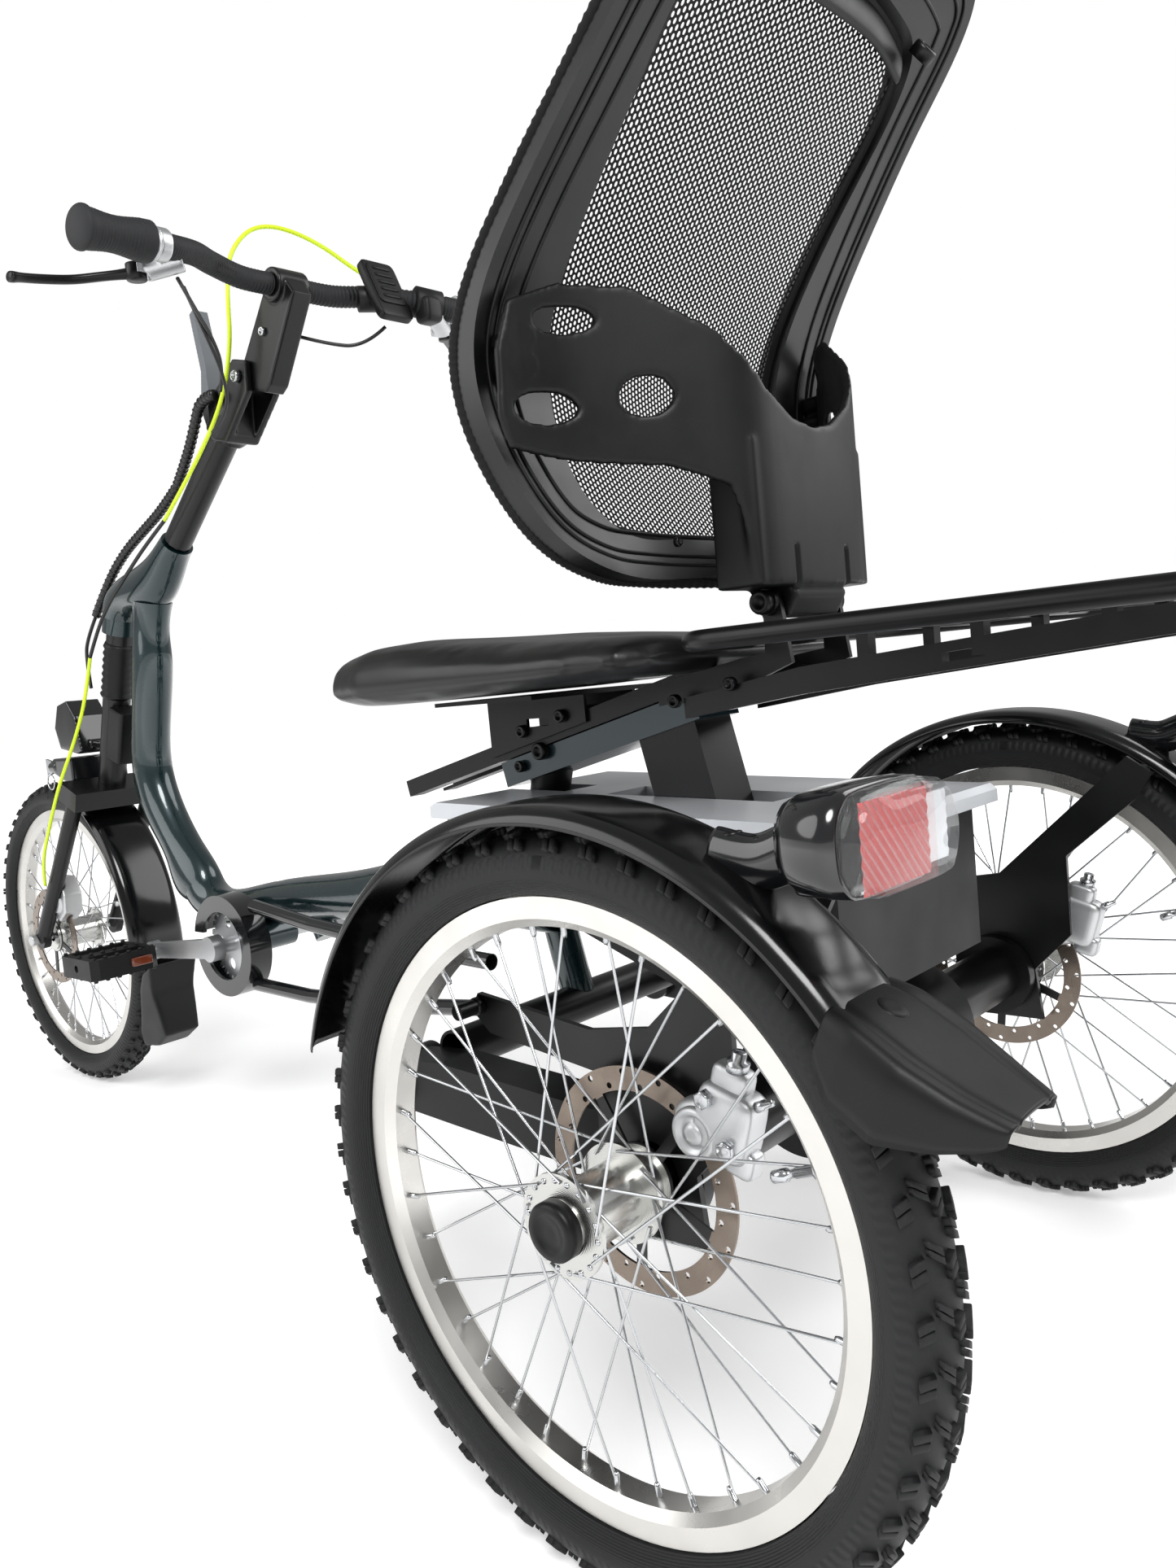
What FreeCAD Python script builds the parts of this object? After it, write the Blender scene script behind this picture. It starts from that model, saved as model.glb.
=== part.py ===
import FreeCAD, Part
import math
import os
import Sketcher

# Adult tricycle with a low step-through frame, a sliding seat with a mesh back, and a rear carrier.
# Every sub-part is drawn from the floor point under the rear axle: X forward, Y left, Z up.
# Its Placement then moves it so that the origin lies on the floor under the middle of the whole.

Vector = FreeCAD.Vector
doc = FreeCAD.newDocument("tricycle")
sheet = doc.addObject("Spreadsheet::Sheet", "dim")
subparts = {}

DIMENSIONS = [
    ("wheelbase", 1488.5, "rear axle to front axle"),
    ("half_track", 351.6, "middle of the frame to a rear wheel's middle plane"),
    ("rear_axle_x", -680.0, "rear axle, from the middle of the overall length"),
    ("front_axle_x", 808.5, "front axle, from the middle of the overall length"),
    ("wheel_radius", 255.5, "tyre tread, 20 inch wheel"),
    ("tyre_half_width", 26.0, "half of the tyre's width"),
    ("tyre_wall", 4.5, "tyre wall"),
    ("rim_radius", 209.5, "outer edge of the rim's flanges"),
    ("rim_depth", 20.5, "flange edge to inner wall"),
    ("rim_half_width", 15.0, "half of the rim's width"),
    ("rim_wall", 2.0, "rim wall"),
    ("bead_radius", 199.0, "bottom of the rim's tyre well"),
    ("barrel_radius", 23.0, "hub barrel"),
    ("flange_radius", 34.5, "hub flange"),
    ("flange_half", 28.0, "hub flanges, each side of the wheel's middle plane"),
    ("spoke_hole_radius", 30.0, "circle of the spoke holes"),
    ("spoke_radius", 1.0, "spoke"),
    ("spoke_count", 36.0, "spokes in a wheel"),
    ("rotor_radius", 80.0, "brake rotor"),
    ("rotor_inner", 63.0, "inner edge of the rotor's braking band"),
    ("rotor_thick", 2.0, "brake rotor"),
    ("rotor_offset", 50.0, "rear rotors, inboard of the wheel's middle plane"),
    ("front_rotor_offset", 43.0, "front rotor, left of the wheel's middle plane"),
    ("shaft_radius", 9.0, "drive shafts in the rear axle"),
    ("fender_radius", 268.0, "inner face of the rear fenders"),
    ("fender_wall", 2.5, "fender sheet"),
    ("fender_half_width", 36.0, "half of a fender's width"),
    ("steer_lean", 21.5, "steering axis, degrees from vertical"),
    ("steer_top_x", 1216.0, "lower head bearing"),
    ("steer_top_z", 735.0, "lower head bearing"),
    ("column_radius", 19.0, "steering column"),
    ("column_wall", 2.5, "steering column"),
    ("bar_radius", 11.1, "handlebar"),
    ("bar_half", 300.0, "half of the handlebar's width"),
    ("bar_height", 1100.0, "handlebar in its clamp"),
    ("crank_x", 905.0, "bottom bracket"),
    ("crank_height", 292.0, "bottom bracket"),
    ("crank_length", 160.0, "crank arm"),
    ("crank_droop", 5.5, "left crank arm, degrees below level"),
    ("rail_slope", 13.2, "seat rail, degrees up to the rear"),
    ("rail_length", 448.0, "seat rail"),
    ("rail_width", 70.0, "seat rail"),
    ("rail_height", 18.0, "seat rail"),
    ("rail_wall", 3.5, "seat rail"),
    ("rail_slot", 30.0, "slot under the seat rail"),
    ("receiver_length", 262.0, "teal beam that carries the rail"),
    ("receiver_width", 62.0, "teal beam that carries the rail"),
    ("receiver_height", 26.0, "teal beam that carries the rail"),
    ("receiver_wall", 3.5, "teal beam that carries the rail"),
    ("slide_gap", 0.3, "clearance round the seat's slider"),
    ("seat_half_width", 190.0, "half of the seat's width"),
    ("rack_half_width", 165.0, "half of the carrier's width"),
    ("rack_height", 619.0, "carrier tube"),
    ("rack_tube", 8.0, "radius of the carrier's tube"),
    ("lid_width", 260.0, "battery lid"),
    ("hose_radius", 2.5, "brake hose"),
    ("bundle_radius", 6.0, "wrapped cables"),
]


def fill_sheet():
    for row, (alias, value, note) in enumerate(DIMENSIONS, start=1):
        sheet.set("A%d" % row, alias)
        sheet.set("B%d" % row, str(value))
        sheet.set("C%d" % row, note)
        sheet.setAlias("B%d" % row, alias)
    doc.recompute()


def size(alias):
    return float(sheet.get(alias))


# ---- how a sub-part is kept -------------------------------------------------------------------

def keep(obj, label, base=("dim.rear_axle_x", None, None), turn=None):
    """Labels a sub-part and binds where it stands to the sheet."""
    obj.Label = label
    if turn is not None:
        obj.Placement = FreeCAD.Placement(Vector(0, 0, 0), turn)
    for axis, text in zip("xyz", base):
        if text is not None:
            obj.setExpression("Placement.Base." + axis, text)
    subparts[label] = obj
    return obj


def keep_shape(label, shape, base=("dim.rear_axle_x", None, None)):
    obj = doc.addObject("Part::Feature", label)
    obj.Shape = shape
    return keep(obj, label, base)


def turn_y(degrees):
    return FreeCAD.Rotation(Vector(0, 1, 0), degrees)


# ---- sketches ---------------------------------------------------------------------------------

def new_body(label):
    return doc.addObject("PartDesign::Body", label)


def sketch_on(body, role, name):
    sketch = body.newObject("Sketcher::SketchObject", name)
    plane = [feature for feature in body.Origin.OriginFeatures if feature.Role == role][0]
    sketch.AttachmentSupport = [(plane, "")]
    sketch.MapMode = "FlatFace"
    return sketch


def number(value):
    """The present value of a coordinate given as a number or as an expression on the sheet."""
    if isinstance(value, str):
        result = sheet.evalExpression(value.replace("dim.", ""))
        return float(getattr(result, "Value", result))
    return float(value)


def draw_outline(sketch, points):
    """A closed polygon; each corner is held by its two distances from the sketch's origin."""
    places = [Vector(number(px), number(py), 0) for px, py in points]
    count = len(places)
    lines = [Part.LineSegment(places[k], places[(k + 1) % count]) for k in range(count)]
    first = sketch.GeometryCount
    sketch.addGeometry(lines, False)
    for k in range(count):
        line = first + k
        sketch.addConstraint(Sketcher.Constraint("Coincident", line, 2, first + (k + 1) % count, 1))
    for k, (px, py) in enumerate(points):
        for kind, axis, value, place in (("DistanceX", -2, px, places[k].x),
                                         ("DistanceY", -1, py, places[k].y)):
            if abs(place) < 1e-6:
                sketch.addConstraint(Sketcher.Constraint("PointOnObject", first + k, 1, axis))
                continue
            index = sketch.addConstraint(Sketcher.Constraint(kind, -1, 1, first + k, 1, place))
            if isinstance(value, str):
                sketch.setExpression("Constraints[%d]" % index, value)


def draw_circle(sketch, centre_x, centre_y, radius):
    place = Vector(number(centre_x), number(centre_y), 0)
    index = sketch.addGeometry(Part.Circle(place, Vector(0, 0, 1), number(radius)), False)
    bound = sketch.addConstraint(Sketcher.Constraint("Radius", index, number(radius)))
    if isinstance(radius, str):
        sketch.setExpression("Constraints[%d]" % bound, radius)
    for kind, axis, value, at in (("DistanceX", -2, centre_x, place.x),
                                  ("DistanceY", -1, centre_y, place.y)):
        if abs(at) < 1e-6:
            sketch.addConstraint(Sketcher.Constraint("PointOnObject", index, 3, axis))
            continue
        held = sketch.addConstraint(Sketcher.Constraint(kind, -1, 1, index, 3, at))
        if isinstance(value, str):
            sketch.setExpression("Constraints[%d]" % held, value)


def pad(body, sketch, name, length, midplane=True, backward=False):
    feature = body.newObject("PartDesign::Pad", name)
    feature.Profile = sketch
    if isinstance(length, str):
        feature.setExpression("Length", length)
    else:
        feature.Length = length
    feature.Midplane = midplane
    feature.Reversed = backward
    sketch.Visibility = False
    return feature


def pocket(body, sketch, name, length):
    """A cut to both sides of the sketch's plane."""
    feature = body.newObject("PartDesign::Pocket", name)
    feature.Profile = sketch
    feature.Midplane = True
    if isinstance(length, str):
        feature.setExpression("Length", length)
    else:
        feature.Length = length
    return feature


def revolve(body, sketch, name, angle=360.0):
    """Turns a sketch about its vertical axis."""
    feature = body.newObject("PartDesign::Revolution", name)
    feature.Profile = sketch
    feature.ReferenceAxis = (sketch, ["V_Axis"])
    feature.Angle = angle
    return feature


# ---- shapes that need a path or sections ------------------------------------------------------

def path_wire(points, bend):
    """Straight runs joined by tangent arcs; a corner's arc is no larger than its runs allow."""
    spots = [Vector(*p) for p in points]
    edges = []
    start = spots[0]
    for before, corner, after in zip(spots, spots[1:], spots[2:]):
        back = (before - corner).normalize()
        ahead = (after - corner).normalize()
        half = (math.pi - back.getAngle(ahead)) / 2
        room = 0.45 * min((before - corner).Length, (after - corner).Length)
        reach = min(bend * math.tan(half), room)
        radius = reach / math.tan(half)
        enter = corner + back * reach
        leave = corner + ahead * reach
        centre = corner + (back + ahead).normalize() * (radius / math.cos(half))
        middle = centre + (corner - centre).normalize() * radius
        if (enter - start).Length > 1e-6:
            edges.append(Part.LineSegment(start, enter).toShape())
        edges.append(Part.Arc(enter, middle, leave).toShape())
        start = leave
    edges.append(Part.LineSegment(start, spots[-1]).toShape())
    return Part.Wire(edges)


def tube(points, radius, bend=60.0, wall=0.0):
    """A round tube or rod along a path; with a wall it is hollow."""
    wire = path_wire(points, bend)
    start = Vector(*points[0])
    ahead = Vector(*points[1]) - start
    solid = wire.makePipeShell([Part.Wire(Part.makeCircle(radius, start, ahead))], True, False)
    if wall <= 0:
        return solid
    inner = Part.Wire(Part.makeCircle(radius - wall, start, ahead))
    return solid.cut(wire.makePipeShell([inner], True, False))


def rod(start, end, radius):
    first = Vector(*start)
    along = Vector(*end) - first
    return Part.makeCylinder(radius, along.Length, first, along)


def slab_xz(points, y_low, y_high):
    """A plate whose outline is drawn on X and Z."""
    wire = Part.makePolygon([Vector(px, y_low, pz) for px, pz in points + points[:1]])
    return Part.Face(wire).extrude(Vector(0, y_high - y_low, 0))


def slab_yz(points, x_low, x_high):
    """A plate whose outline is drawn on Y and Z."""
    wire = Part.makePolygon([Vector(x_low, py, pz) for py, pz in points + points[:1]])
    return Part.Face(wire).extrude(Vector(x_high - x_low, 0, 0))


def mirror_y(shape):
    return shape.mirror(Vector(0, 0, 0), Vector(0, 1, 0))


def both_sides(shape):
    return Part.makeCompound([shape, mirror_y(shape)])


def oval(centre, lean, half_along, half_across):
    """A closed oval square to a direction that leans from the vertical in the X-Z plane."""
    tilt = math.radians(lean)
    along = Vector(math.cos(tilt), 0, math.sin(tilt)) * half_along
    across = Vector(0, half_across, 0)
    spots = []
    for k in range(12):
        turn = math.pi * k / 6
        spots.append(Vector(*centre) + along * math.cos(turn) + across * math.sin(turn))
    curve = Part.BSplineCurve()
    curve.interpolate(spots, PeriodicFlag=True)
    return Part.Wire(curve.toShape())


def loft(sections):
    """A solid through oval sections: centre, lean, half depth and half width."""
    wires = [oval(*section) for section in sections]
    return Part.makeLoft(wires, True, False)


def smooth_face(points, plane_point):
    """A face bounded by one closed smooth curve."""
    curve = Part.BSplineCurve()
    curve.interpolate([plane_point(*p) for p in points], PeriodicFlag=True)
    return Part.Face(Part.Wire(curve.toShape()))


# ---- wheels -----------------------------------------------------------------------------------

def make_tyre(label, base):
    body = new_body(label)
    sketch = sketch_on(body, "XY_Plane", label + "_section")
    tread = "dim.wheel_radius"
    side = "dim.tyre_half_width"
    seat = "dim.bead_radius + 1"
    half = [("dim.wheel_radius - 2.5", "12"), ("dim.wheel_radius - 8", "21"),
            ("dim.wheel_radius - 21", side), ("dim.wheel_radius - 34", "dim.tyre_half_width - 3"),
            ("dim.rim_radius + 1", "13"), ("dim.rim_radius - 2", "12.8"), (seat, "12.8")]
    inside = [(seat, "9"), ("dim.rim_radius", "9"),
              ("dim.wheel_radius - 33", "dim.tyre_half_width - 8"),
              ("dim.wheel_radius - 21", "dim.tyre_half_width - dim.tyre_wall"),
              ("dim.wheel_radius - 11", "15"), ("dim.wheel_radius - 9", "0")]
    mirrored = [(px, "-(" + py + ")") for px, py in half]
    inner_back = [(px, "-(" + py + ")") for px, py in inside[:-1]]
    outline = [(tread, "4")] + half + inside + inner_back[::-1] + mirrored[::-1] + [(tread, "-4")]
    draw_outline(sketch, [(px, py if py != "0" else 0) for px, py in outline])
    revolve(body, sketch, label + "_turn")
    keep(body, label, base)


def make_rim(label, base):
    body = new_body(label)
    sketch = sketch_on(body, "XY_Plane", label + "_section")
    edge = "dim.rim_radius"
    outer = "dim.rim_half_width"
    lip = "dim.rim_half_width - dim.rim_wall"
    well = "dim.bead_radius"
    low = "dim.rim_radius - dim.rim_depth"
    outline = [(edge, outer), (edge, lip), (well, lip), (well, "-(" + lip + ")"),
               (edge, "-(" + lip + ")"), (edge, "-" + outer),
               ("dim.bead_radius - 4", "-" + outer), (low, "-9"), (low, "9"),
               ("dim.bead_radius - 4", outer)]
    draw_outline(sketch, outline)
    shell = revolve(body, sketch, label + "_turn")
    hollow = sketch_on(body, "XY_Plane", label + "_hollow")
    draw_outline(hollow, [("dim.bead_radius - 2", "11"), ("dim.bead_radius - 5", "12.5"),
                          (low + " + 2", "7"), (low + " + 2", "-7"),
                          ("dim.bead_radius - 5", "-12.5"), ("dim.bead_radius - 2", "-11")])
    groove = body.newObject("PartDesign::Groove", label + "_groove")
    groove.Profile = hollow
    groove.ReferenceAxis = (hollow, ["V_Axis"])
    groove.Angle = 360
    doc.recompute()
    if groove.Shape.Volume > 0.8 * shell.Shape.Volume:
        raise RuntimeError("the rim's hollow cuts nothing")
    keep(body, label, base)


def rotor_shape(offset):
    """A braking band on five curved arms, with rows of drilled holes."""
    thick = size("rotor_thick")
    outer = size("rotor_radius")
    inner = size("rotor_inner")
    low = offset - thick / 2
    across = Vector(0, 1, 0)
    disc = Part.makeCylinder(outer, thick, Vector(0, low, 0), across)
    disc = disc.cut(Part.makeCylinder(inner, thick, Vector(0, low, 0), across))
    hole_circle = (outer + inner) / 2
    holes = []
    for k in range(30):
        angle = math.radians(12 * k)
        reach = hole_circle + (4.5 if k % 2 else -4.5)
        spot = Vector(reach * math.cos(angle), low - 1, reach * math.sin(angle))
        holes.append(Part.makeCylinder(2.2, thick + 2, spot, across))
    disc = disc.cut(Part.makeCompound(holes))
    boss = Part.makeCylinder(27, thick, Vector(0, low, 0), across)
    pieces = [boss]
    for k in range(5):
        arm = Part.makeBox(inner - 20, thick, 8, Vector(22, low, -4))
        arm.rotate(Vector(0, 0, 0), across, 72 * k + 12)
        pieces.append(arm)
    disc = disc.fuse(pieces)
    bore = Part.makeCylinder(size("barrel_radius"), thick + 2, Vector(0, low - 1, 0), across)
    return disc.cut(bore).removeSplitter()


def hub_shape(offset, cap_side, shaft_end):
    """Barrel, two flanges, rotor, outer cap, and the shaft that turns in the axle."""
    across = Vector(0, 1, 0)
    half = size("flange_half")
    barrel = size("barrel_radius")
    flange = size("flange_radius")
    reach = abs(offset) + 4
    low, high = (-reach, half + 1.5) if offset < 0 else (-half - 1.5, reach)
    solid = Part.makeCylinder(barrel, high - low, Vector(0, low, 0), across)
    for side in (-half, half):
        solid = solid.fuse(Part.makeCylinder(flange, 3, Vector(0, side - 1.5, 0), across))
    if cap_side:
        start = half + 1.5 if cap_side > 0 else -half - 12.5
        solid = solid.fuse(Part.makeCylinder(18, 11, Vector(0, start, 0), across))
    bore = size("shaft_radius") + 0.05
    through = Part.makeCylinder(bore, high - low + 2, Vector(0, low - 1, 0), across)
    if shaft_end is None:
        solid = solid.cut(through)
        return Part.makeCompound([solid, rotor_shape(offset)])
    shaft_start = half if offset < 0 else -half
    y_low, y_high = sorted((shaft_start, shaft_end))
    shaft = Part.makeCylinder(size("shaft_radius"), y_high - y_low, Vector(0, y_low, 0), across)
    solid = solid.cut(shaft)
    return Part.makeCompound([solid, rotor_shape(offset), shaft])


def spoke_set():
    """Spokes laced three-cross from both flanges to the rim."""
    count = int(size("spoke_count"))
    seat = size("rim_radius") - size("rim_depth")
    ring = size("spoke_hole_radius")
    half = size("flange_half")
    spokes = []
    for k in range(count):
        side = 1 if k % 2 else -1
        lead = 1 if (k // 2) % 2 else -1
        rim_angle = 2 * math.pi * k / count
        hub_angle = rim_angle + lead * math.radians(66)
        hub_y = side * (half + (2.5 if lead > 0 else -2.5))
        start = (ring * math.cos(hub_angle), hub_y, ring * math.sin(hub_angle))
        end = (seat * math.cos(rim_angle), side * 2.0, seat * math.sin(rim_angle))
        spokes.append(rod(start, end, size("spoke_radius")))
    return Part.makeCompound(spokes)


def make_wheels():
    wheels = (("left", "dim.rear_axle_x", "dim.half_track", -1, 1, -(size("half_track") - 70)),
              ("right", "dim.rear_axle_x", "-dim.half_track", 1, -1, size("half_track") - 70),
              ("front", "dim.front_axle_x", None, 1, 0, None))
    for side, x_text, y_text, rotor_side, cap_side, shaft_end in wheels:
        base = (x_text, y_text, "dim.wheel_radius")
        offset = size("front_rotor_offset") if side == "front" else size("rotor_offset")
        make_tyre(side + "_tyre", base)
        make_rim(side + "_rim", base)
        keep_shape(side + "_hub", hub_shape(rotor_side * offset, cap_side, shaft_end), base)
        keep_shape(side + "_spokes", spoke_set(), base)


# ---- frame ------------------------------------------------------------------------------------

def steer_point(height):
    """A point of the steering axis at a height above the floor."""
    drop = size("steer_top_z") - height
    return Vector(size("steer_top_x") + drop * math.tan(math.radians(size("steer_lean"))), 0, height)


COLUMN_FOOT = Vector(1021.5, 0, 842.0)
COLUMN_TOP = Vector(842.0, 0, 979.1)


def inner_loft(sections, wall):
    """The space inside a lofted tube whose wall has this thickness."""
    return loft([(centre, lean, along - wall, across - wall)
                 for centre, lean, along, across in sections])


def head_housing():
    """The knee between the column's bearing and the fork's bearing."""
    top = steer_point(757)
    lean = size("steer_lean")
    sections = [((1023.0, 0, 841.0), 52.6, 22.5, 22.5), ((1056.0, 0, 818.0), 53, 27, 26),
                ((1098.0, 0, 795.0), 51, 38, 30), ((1150.0, 0, 785.0), 40, 42, 32),
                ((top.x, 0, top.z), lean, 28, 27)]
    collar = rod(steer_point(757), steer_point(735), 27)
    solid = loft(sections).fuse(collar)
    down = (COLUMN_FOOT - COLUMN_TOP).normalize()
    column_bore = rod(COLUMN_FOOT - down * 10, COLUMN_FOOT + down * 32, 12.05)
    steerer_bore = rod(steer_point(720), steer_point(766), 14.05)
    space = inner_loft(sections[1:4], 4.0)
    keep_shape("head_housing", solid.cut([space, column_bore, steerer_bore]))
    return solid


def down_tube(housing):
    sections = [((1112.0, 0, 770.0), 14, 33, 27), ((1130.0, 0, 700.0), 16, 33, 26),
                ((1160.0, 0, 590.0), 15, 33, 26), ((1170.0, 0, 545.0), 6, 33, 27),
                ((1168.0, 0, 505.0), -12, 33, 28), ((1150.0, 0, 462.0), -30, 32, 28),
                ((1105.0, 0, 400.0), -38, 32, 28), ((1062.0, 0, 350.0), -42, 33, 28)]
    shape = loft(sections).cut(housing).cut(inner_loft(sections[1:7], 2.5))
    keep_shape("down_tube", max(shape.Solids, key=lambda solid: solid.Volume))


def bottom_tube():
    """From the foot of the down tube back to the rear axle's cross tube."""
    sections = [((1062.0, 0, 350.0), -42, 33, 28), ((1036.0, 0, 331.0), -66, 29, 28),
                ((1000.0, 0, 325.0), -88, 26, 28), ((900.0, 0, 338.0), -96, 25, 27),
                ((800.0, 0, 349.0), -96, 28, 28), ((640.0, 0, 364.0), -95, 33, 32),
                ((480.0, 0, 372.0), -92, 33, 34), ((352.0, 0, 374.0), -90, 33, 34)]
    solid = loft(sections)
    centre = (size("crank_x"), size("crank_height"))
    shell = rod((centre[0], -32, centre[1]), (centre[0], 32, centre[1]), 20)
    bore = rod((centre[0], -40, centre[1]), (centre[0], 40, centre[1]), 16.5)
    stub = rod((785, 0, 335), (768, 0, 300), 17)
    riser = rod((332, 0, 272), (350, 0, 350), 18).cut(rod((330, -60, 262), (330, 60, 262), 20.05))
    riser = max(riser.Solids, key=lambda piece: piece.Volume)
    shape = solid.fuse([shell, stub, riser]).cut([inner_loft(sections, 2.5), bore])
    keep_shape("bottom_tube", max(shape.Solids, key=lambda piece: piece.Volume))
    return solid


RECEIVER_FRONT = Vector(381.0, 0, 519.5)


def slope_point(back, up, y=0.0):
    """A point at a distance back along the rail and above the receiver's top face."""
    slope = math.radians(size("rail_slope"))
    return RECEIVER_FRONT + Vector(-math.cos(slope), 0, math.sin(slope)) * back \
        + Vector(math.sin(slope), 0, math.cos(slope)) * up + Vector(0, y, 0)


def place_on_slope(obj, label, spot):
    """A sub-part drawn level stands at a point of the sloping seat rail."""
    obj.Label = label
    turn = turn_y(size("rail_slope"))
    obj.Placement = FreeCAD.Placement(spot, turn)
    obj.setExpression("Placement.Base.x", "dim.rear_axle_x + %.3f" % spot.x)
    subparts[label] = obj


def seat_receiver():
    """A hollow beam below the seat rail, with the slider that the rail runs on."""
    body = new_body("seat_receiver")
    sketch = sketch_on(body, "YZ_Plane", "receiver_section")
    half = "dim.receiver_width / 2"
    inner = "dim.receiver_width / 2 - dim.receiver_wall"
    draw_outline(sketch, [("-" + half, "-dim.receiver_height"), (half, "-dim.receiver_height"),
                          (half, 0), ("-" + half, 0)])
    draw_outline(sketch, [("-(" + inner + ")", "dim.receiver_wall - dim.receiver_height"),
                          (inner, "dim.receiver_wall - dim.receiver_height"),
                          (inner, "-dim.receiver_wall"), ("-(" + inner + ")", "-dim.receiver_wall")])
    beam = pad(body, sketch, "receiver_beam", "dim.receiver_length", False, True)
    slider = sketch_on(body, "YZ_Plane", "slider_section")
    neck = "dim.rail_slot / 2 - dim.slide_gap"
    head = "dim.rail_width / 2 - dim.rail_wall - dim.slide_gap"
    lip = "1 + dim.rail_wall + dim.slide_gap"
    crown = "1 + dim.rail_height - dim.rail_wall - dim.slide_gap"
    draw_outline(slider, [("-(" + neck + ")", 0), (neck, 0), (neck, lip), (head, lip),
                          (head, crown), ("-(" + head + ")", crown), ("-(" + head + ")", lip),
                          ("-(" + neck + ")", lip)])
    pad(body, slider, "slider_block", "dim.receiver_length", False, True)
    doc.recompute()
    if body.Shape.Volume < 1.2 * beam.Shape.Volume:
        raise RuntimeError("the slider adds nothing to the receiver")
    place_on_slope(body, "seat_receiver", RECEIVER_FRONT)


def seat_supports(bottom):
    """The seat tube under the receiver, and the rear post."""
    low = -size("receiver_height")
    near, far = slope_point(-120, low - 0.02), slope_point(400, low - 0.02)
    above = slab_xz([(near.x, near.z), (far.x, far.z), (far.x, 900), (near.x, 900)], -90, 90)
    foot = rod((372, 0, 395), (322, 0, 560), 21).cut(above).cut(bottom)
    post = slab_xz([(205, 580), (135, 580), (70, 305), (140, 305)], -28, 28)
    inside = slab_xz([(196, 580), (144, 580), (78, 300), (132, 300)], -24, 24)
    post = post.cut(inside).cut(above)
    pieces = [max(shape.Solids, key=lambda solid: solid.Volume) for shape in (foot, post)]
    keep_shape("seat_supports", Part.makeCompound(pieces))


def rear_subframe():
    """Two side arms under the axle and the cross tube that joins them to the frame."""
    arm = slab_xz([(368, 262), (300, 268), (120, 258), (28, 262), (-30, 240), (28, 212),
                   (120, 204), (300, 214), (368, 218)], 178, 222)
    bush = rod((372, 168, 240), (372, 232, 240), 24)
    axle_hole = rod((0, 170, size("wheel_radius")), (0, 230, size("wheel_radius")), 27.5)
    space = slab_xz([(290, 264), (120, 254), (60, 252), (60, 215), (120, 208), (290, 218)],
                    181, 219)
    arm = max(arm.cut([bush, axle_hole, space]).Solids, key=lambda solid: solid.Volume)
    cross = rod((330, -178, 262), (330, 178, 262), 20)
    cross = cross.cut(rod((330, -179, 262), (330, 179, 262), 17))
    keep_shape("rear_subframe", Part.makeCompound([arm, mirror_y(arm), bush, mirror_y(bush),
                                                   cross]))


def axle_parts():
    """The differential's housing, the tubes either side of it, and their end flanges."""
    height = size("wheel_radius")
    outer = 27.5
    inner = 22.0
    axle = rod((0, 101, height), (0, 284, height), outer)
    axle = axle.cut(rod((0, 100, height), (0, 290, height), inner))
    flange = rod((0, 272, height), (0, 284, height), 40)
    flange = flange.cut(rod((0, 260, height), (0, 290, height), outer))
    case = rod((0, -101, height), (0, 101, height), 58)
    case = case.cut(rod((0, -95, height), (0, 95, height), 52))
    for side in (1, -1):
        case = case.cut(rod((0, 90 * side, height), (0, 110 * side, height), inner))
    keep_shape("rear_axle", Part.makeCompound([case, axle, flange, mirror_y(axle),
                                               mirror_y(flange)]))


def battery():
    """The case between the wheels and its sloping lid."""
    case = new_body("battery_case")
    sketch = sketch_on(case, "XZ_Plane", "case_side")
    draw_outline(sketch, [(-60, 330), (62, 330), (62, 318), (300, 411), (372, 411), (372, 476),
                          (-60, 458)])
    pad(case, sketch, "case_pad", "dim.lid_width - 20")
    opening = sketch_on(case, "XZ_Plane", "case_inside")
    draw_outline(opening, [(-56, 336), (50, 336), (290, 420), (366, 420), (366, 470), (-56, 453)])
    pocket(case, opening, "case_hollow", "dim.lid_width - 28")
    well = sketch_on(case, "XZ_Plane", "post_well")
    draw_outline(well, [(50, 300), (240, 300), (240, 490), (50, 490)])
    pocket(case, well, "post_gap", "60")
    front_well = sketch_on(case, "XZ_Plane", "seat_tube_well")
    draw_outline(front_well, [(306, 400), (380, 400), (380, 490), (306, 490)])
    pocket(case, front_well, "seat_tube_gap", "50")
    keep(case, "battery_case")
    lid = new_body("battery_lid")
    outline = sketch_on(lid, "XZ_Plane", "lid_side")
    draw_outline(outline, [(-80, 457.3), (385, 476.6), (385, 488), (376, 492), (-74, 473.3),
                           (-80, 468)])
    pad(lid, outline, "lid_pad", "dim.lid_width")
    gap = sketch_on(lid, "XZ_Plane", "lid_gap")
    draw_outline(gap, [(50, 440), (240, 440), (240, 500), (50, 500)])
    pocket(lid, gap, "lid_slot", "60")
    seat_gap = sketch_on(lid, "XZ_Plane", "lid_front_gap")
    draw_outline(seat_gap, [(300, 440), (390, 440), (390, 500), (300, 500)])
    pocket(lid, seat_gap, "seat_tube_slot", "50")
    keep(lid, "battery_lid")


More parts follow.
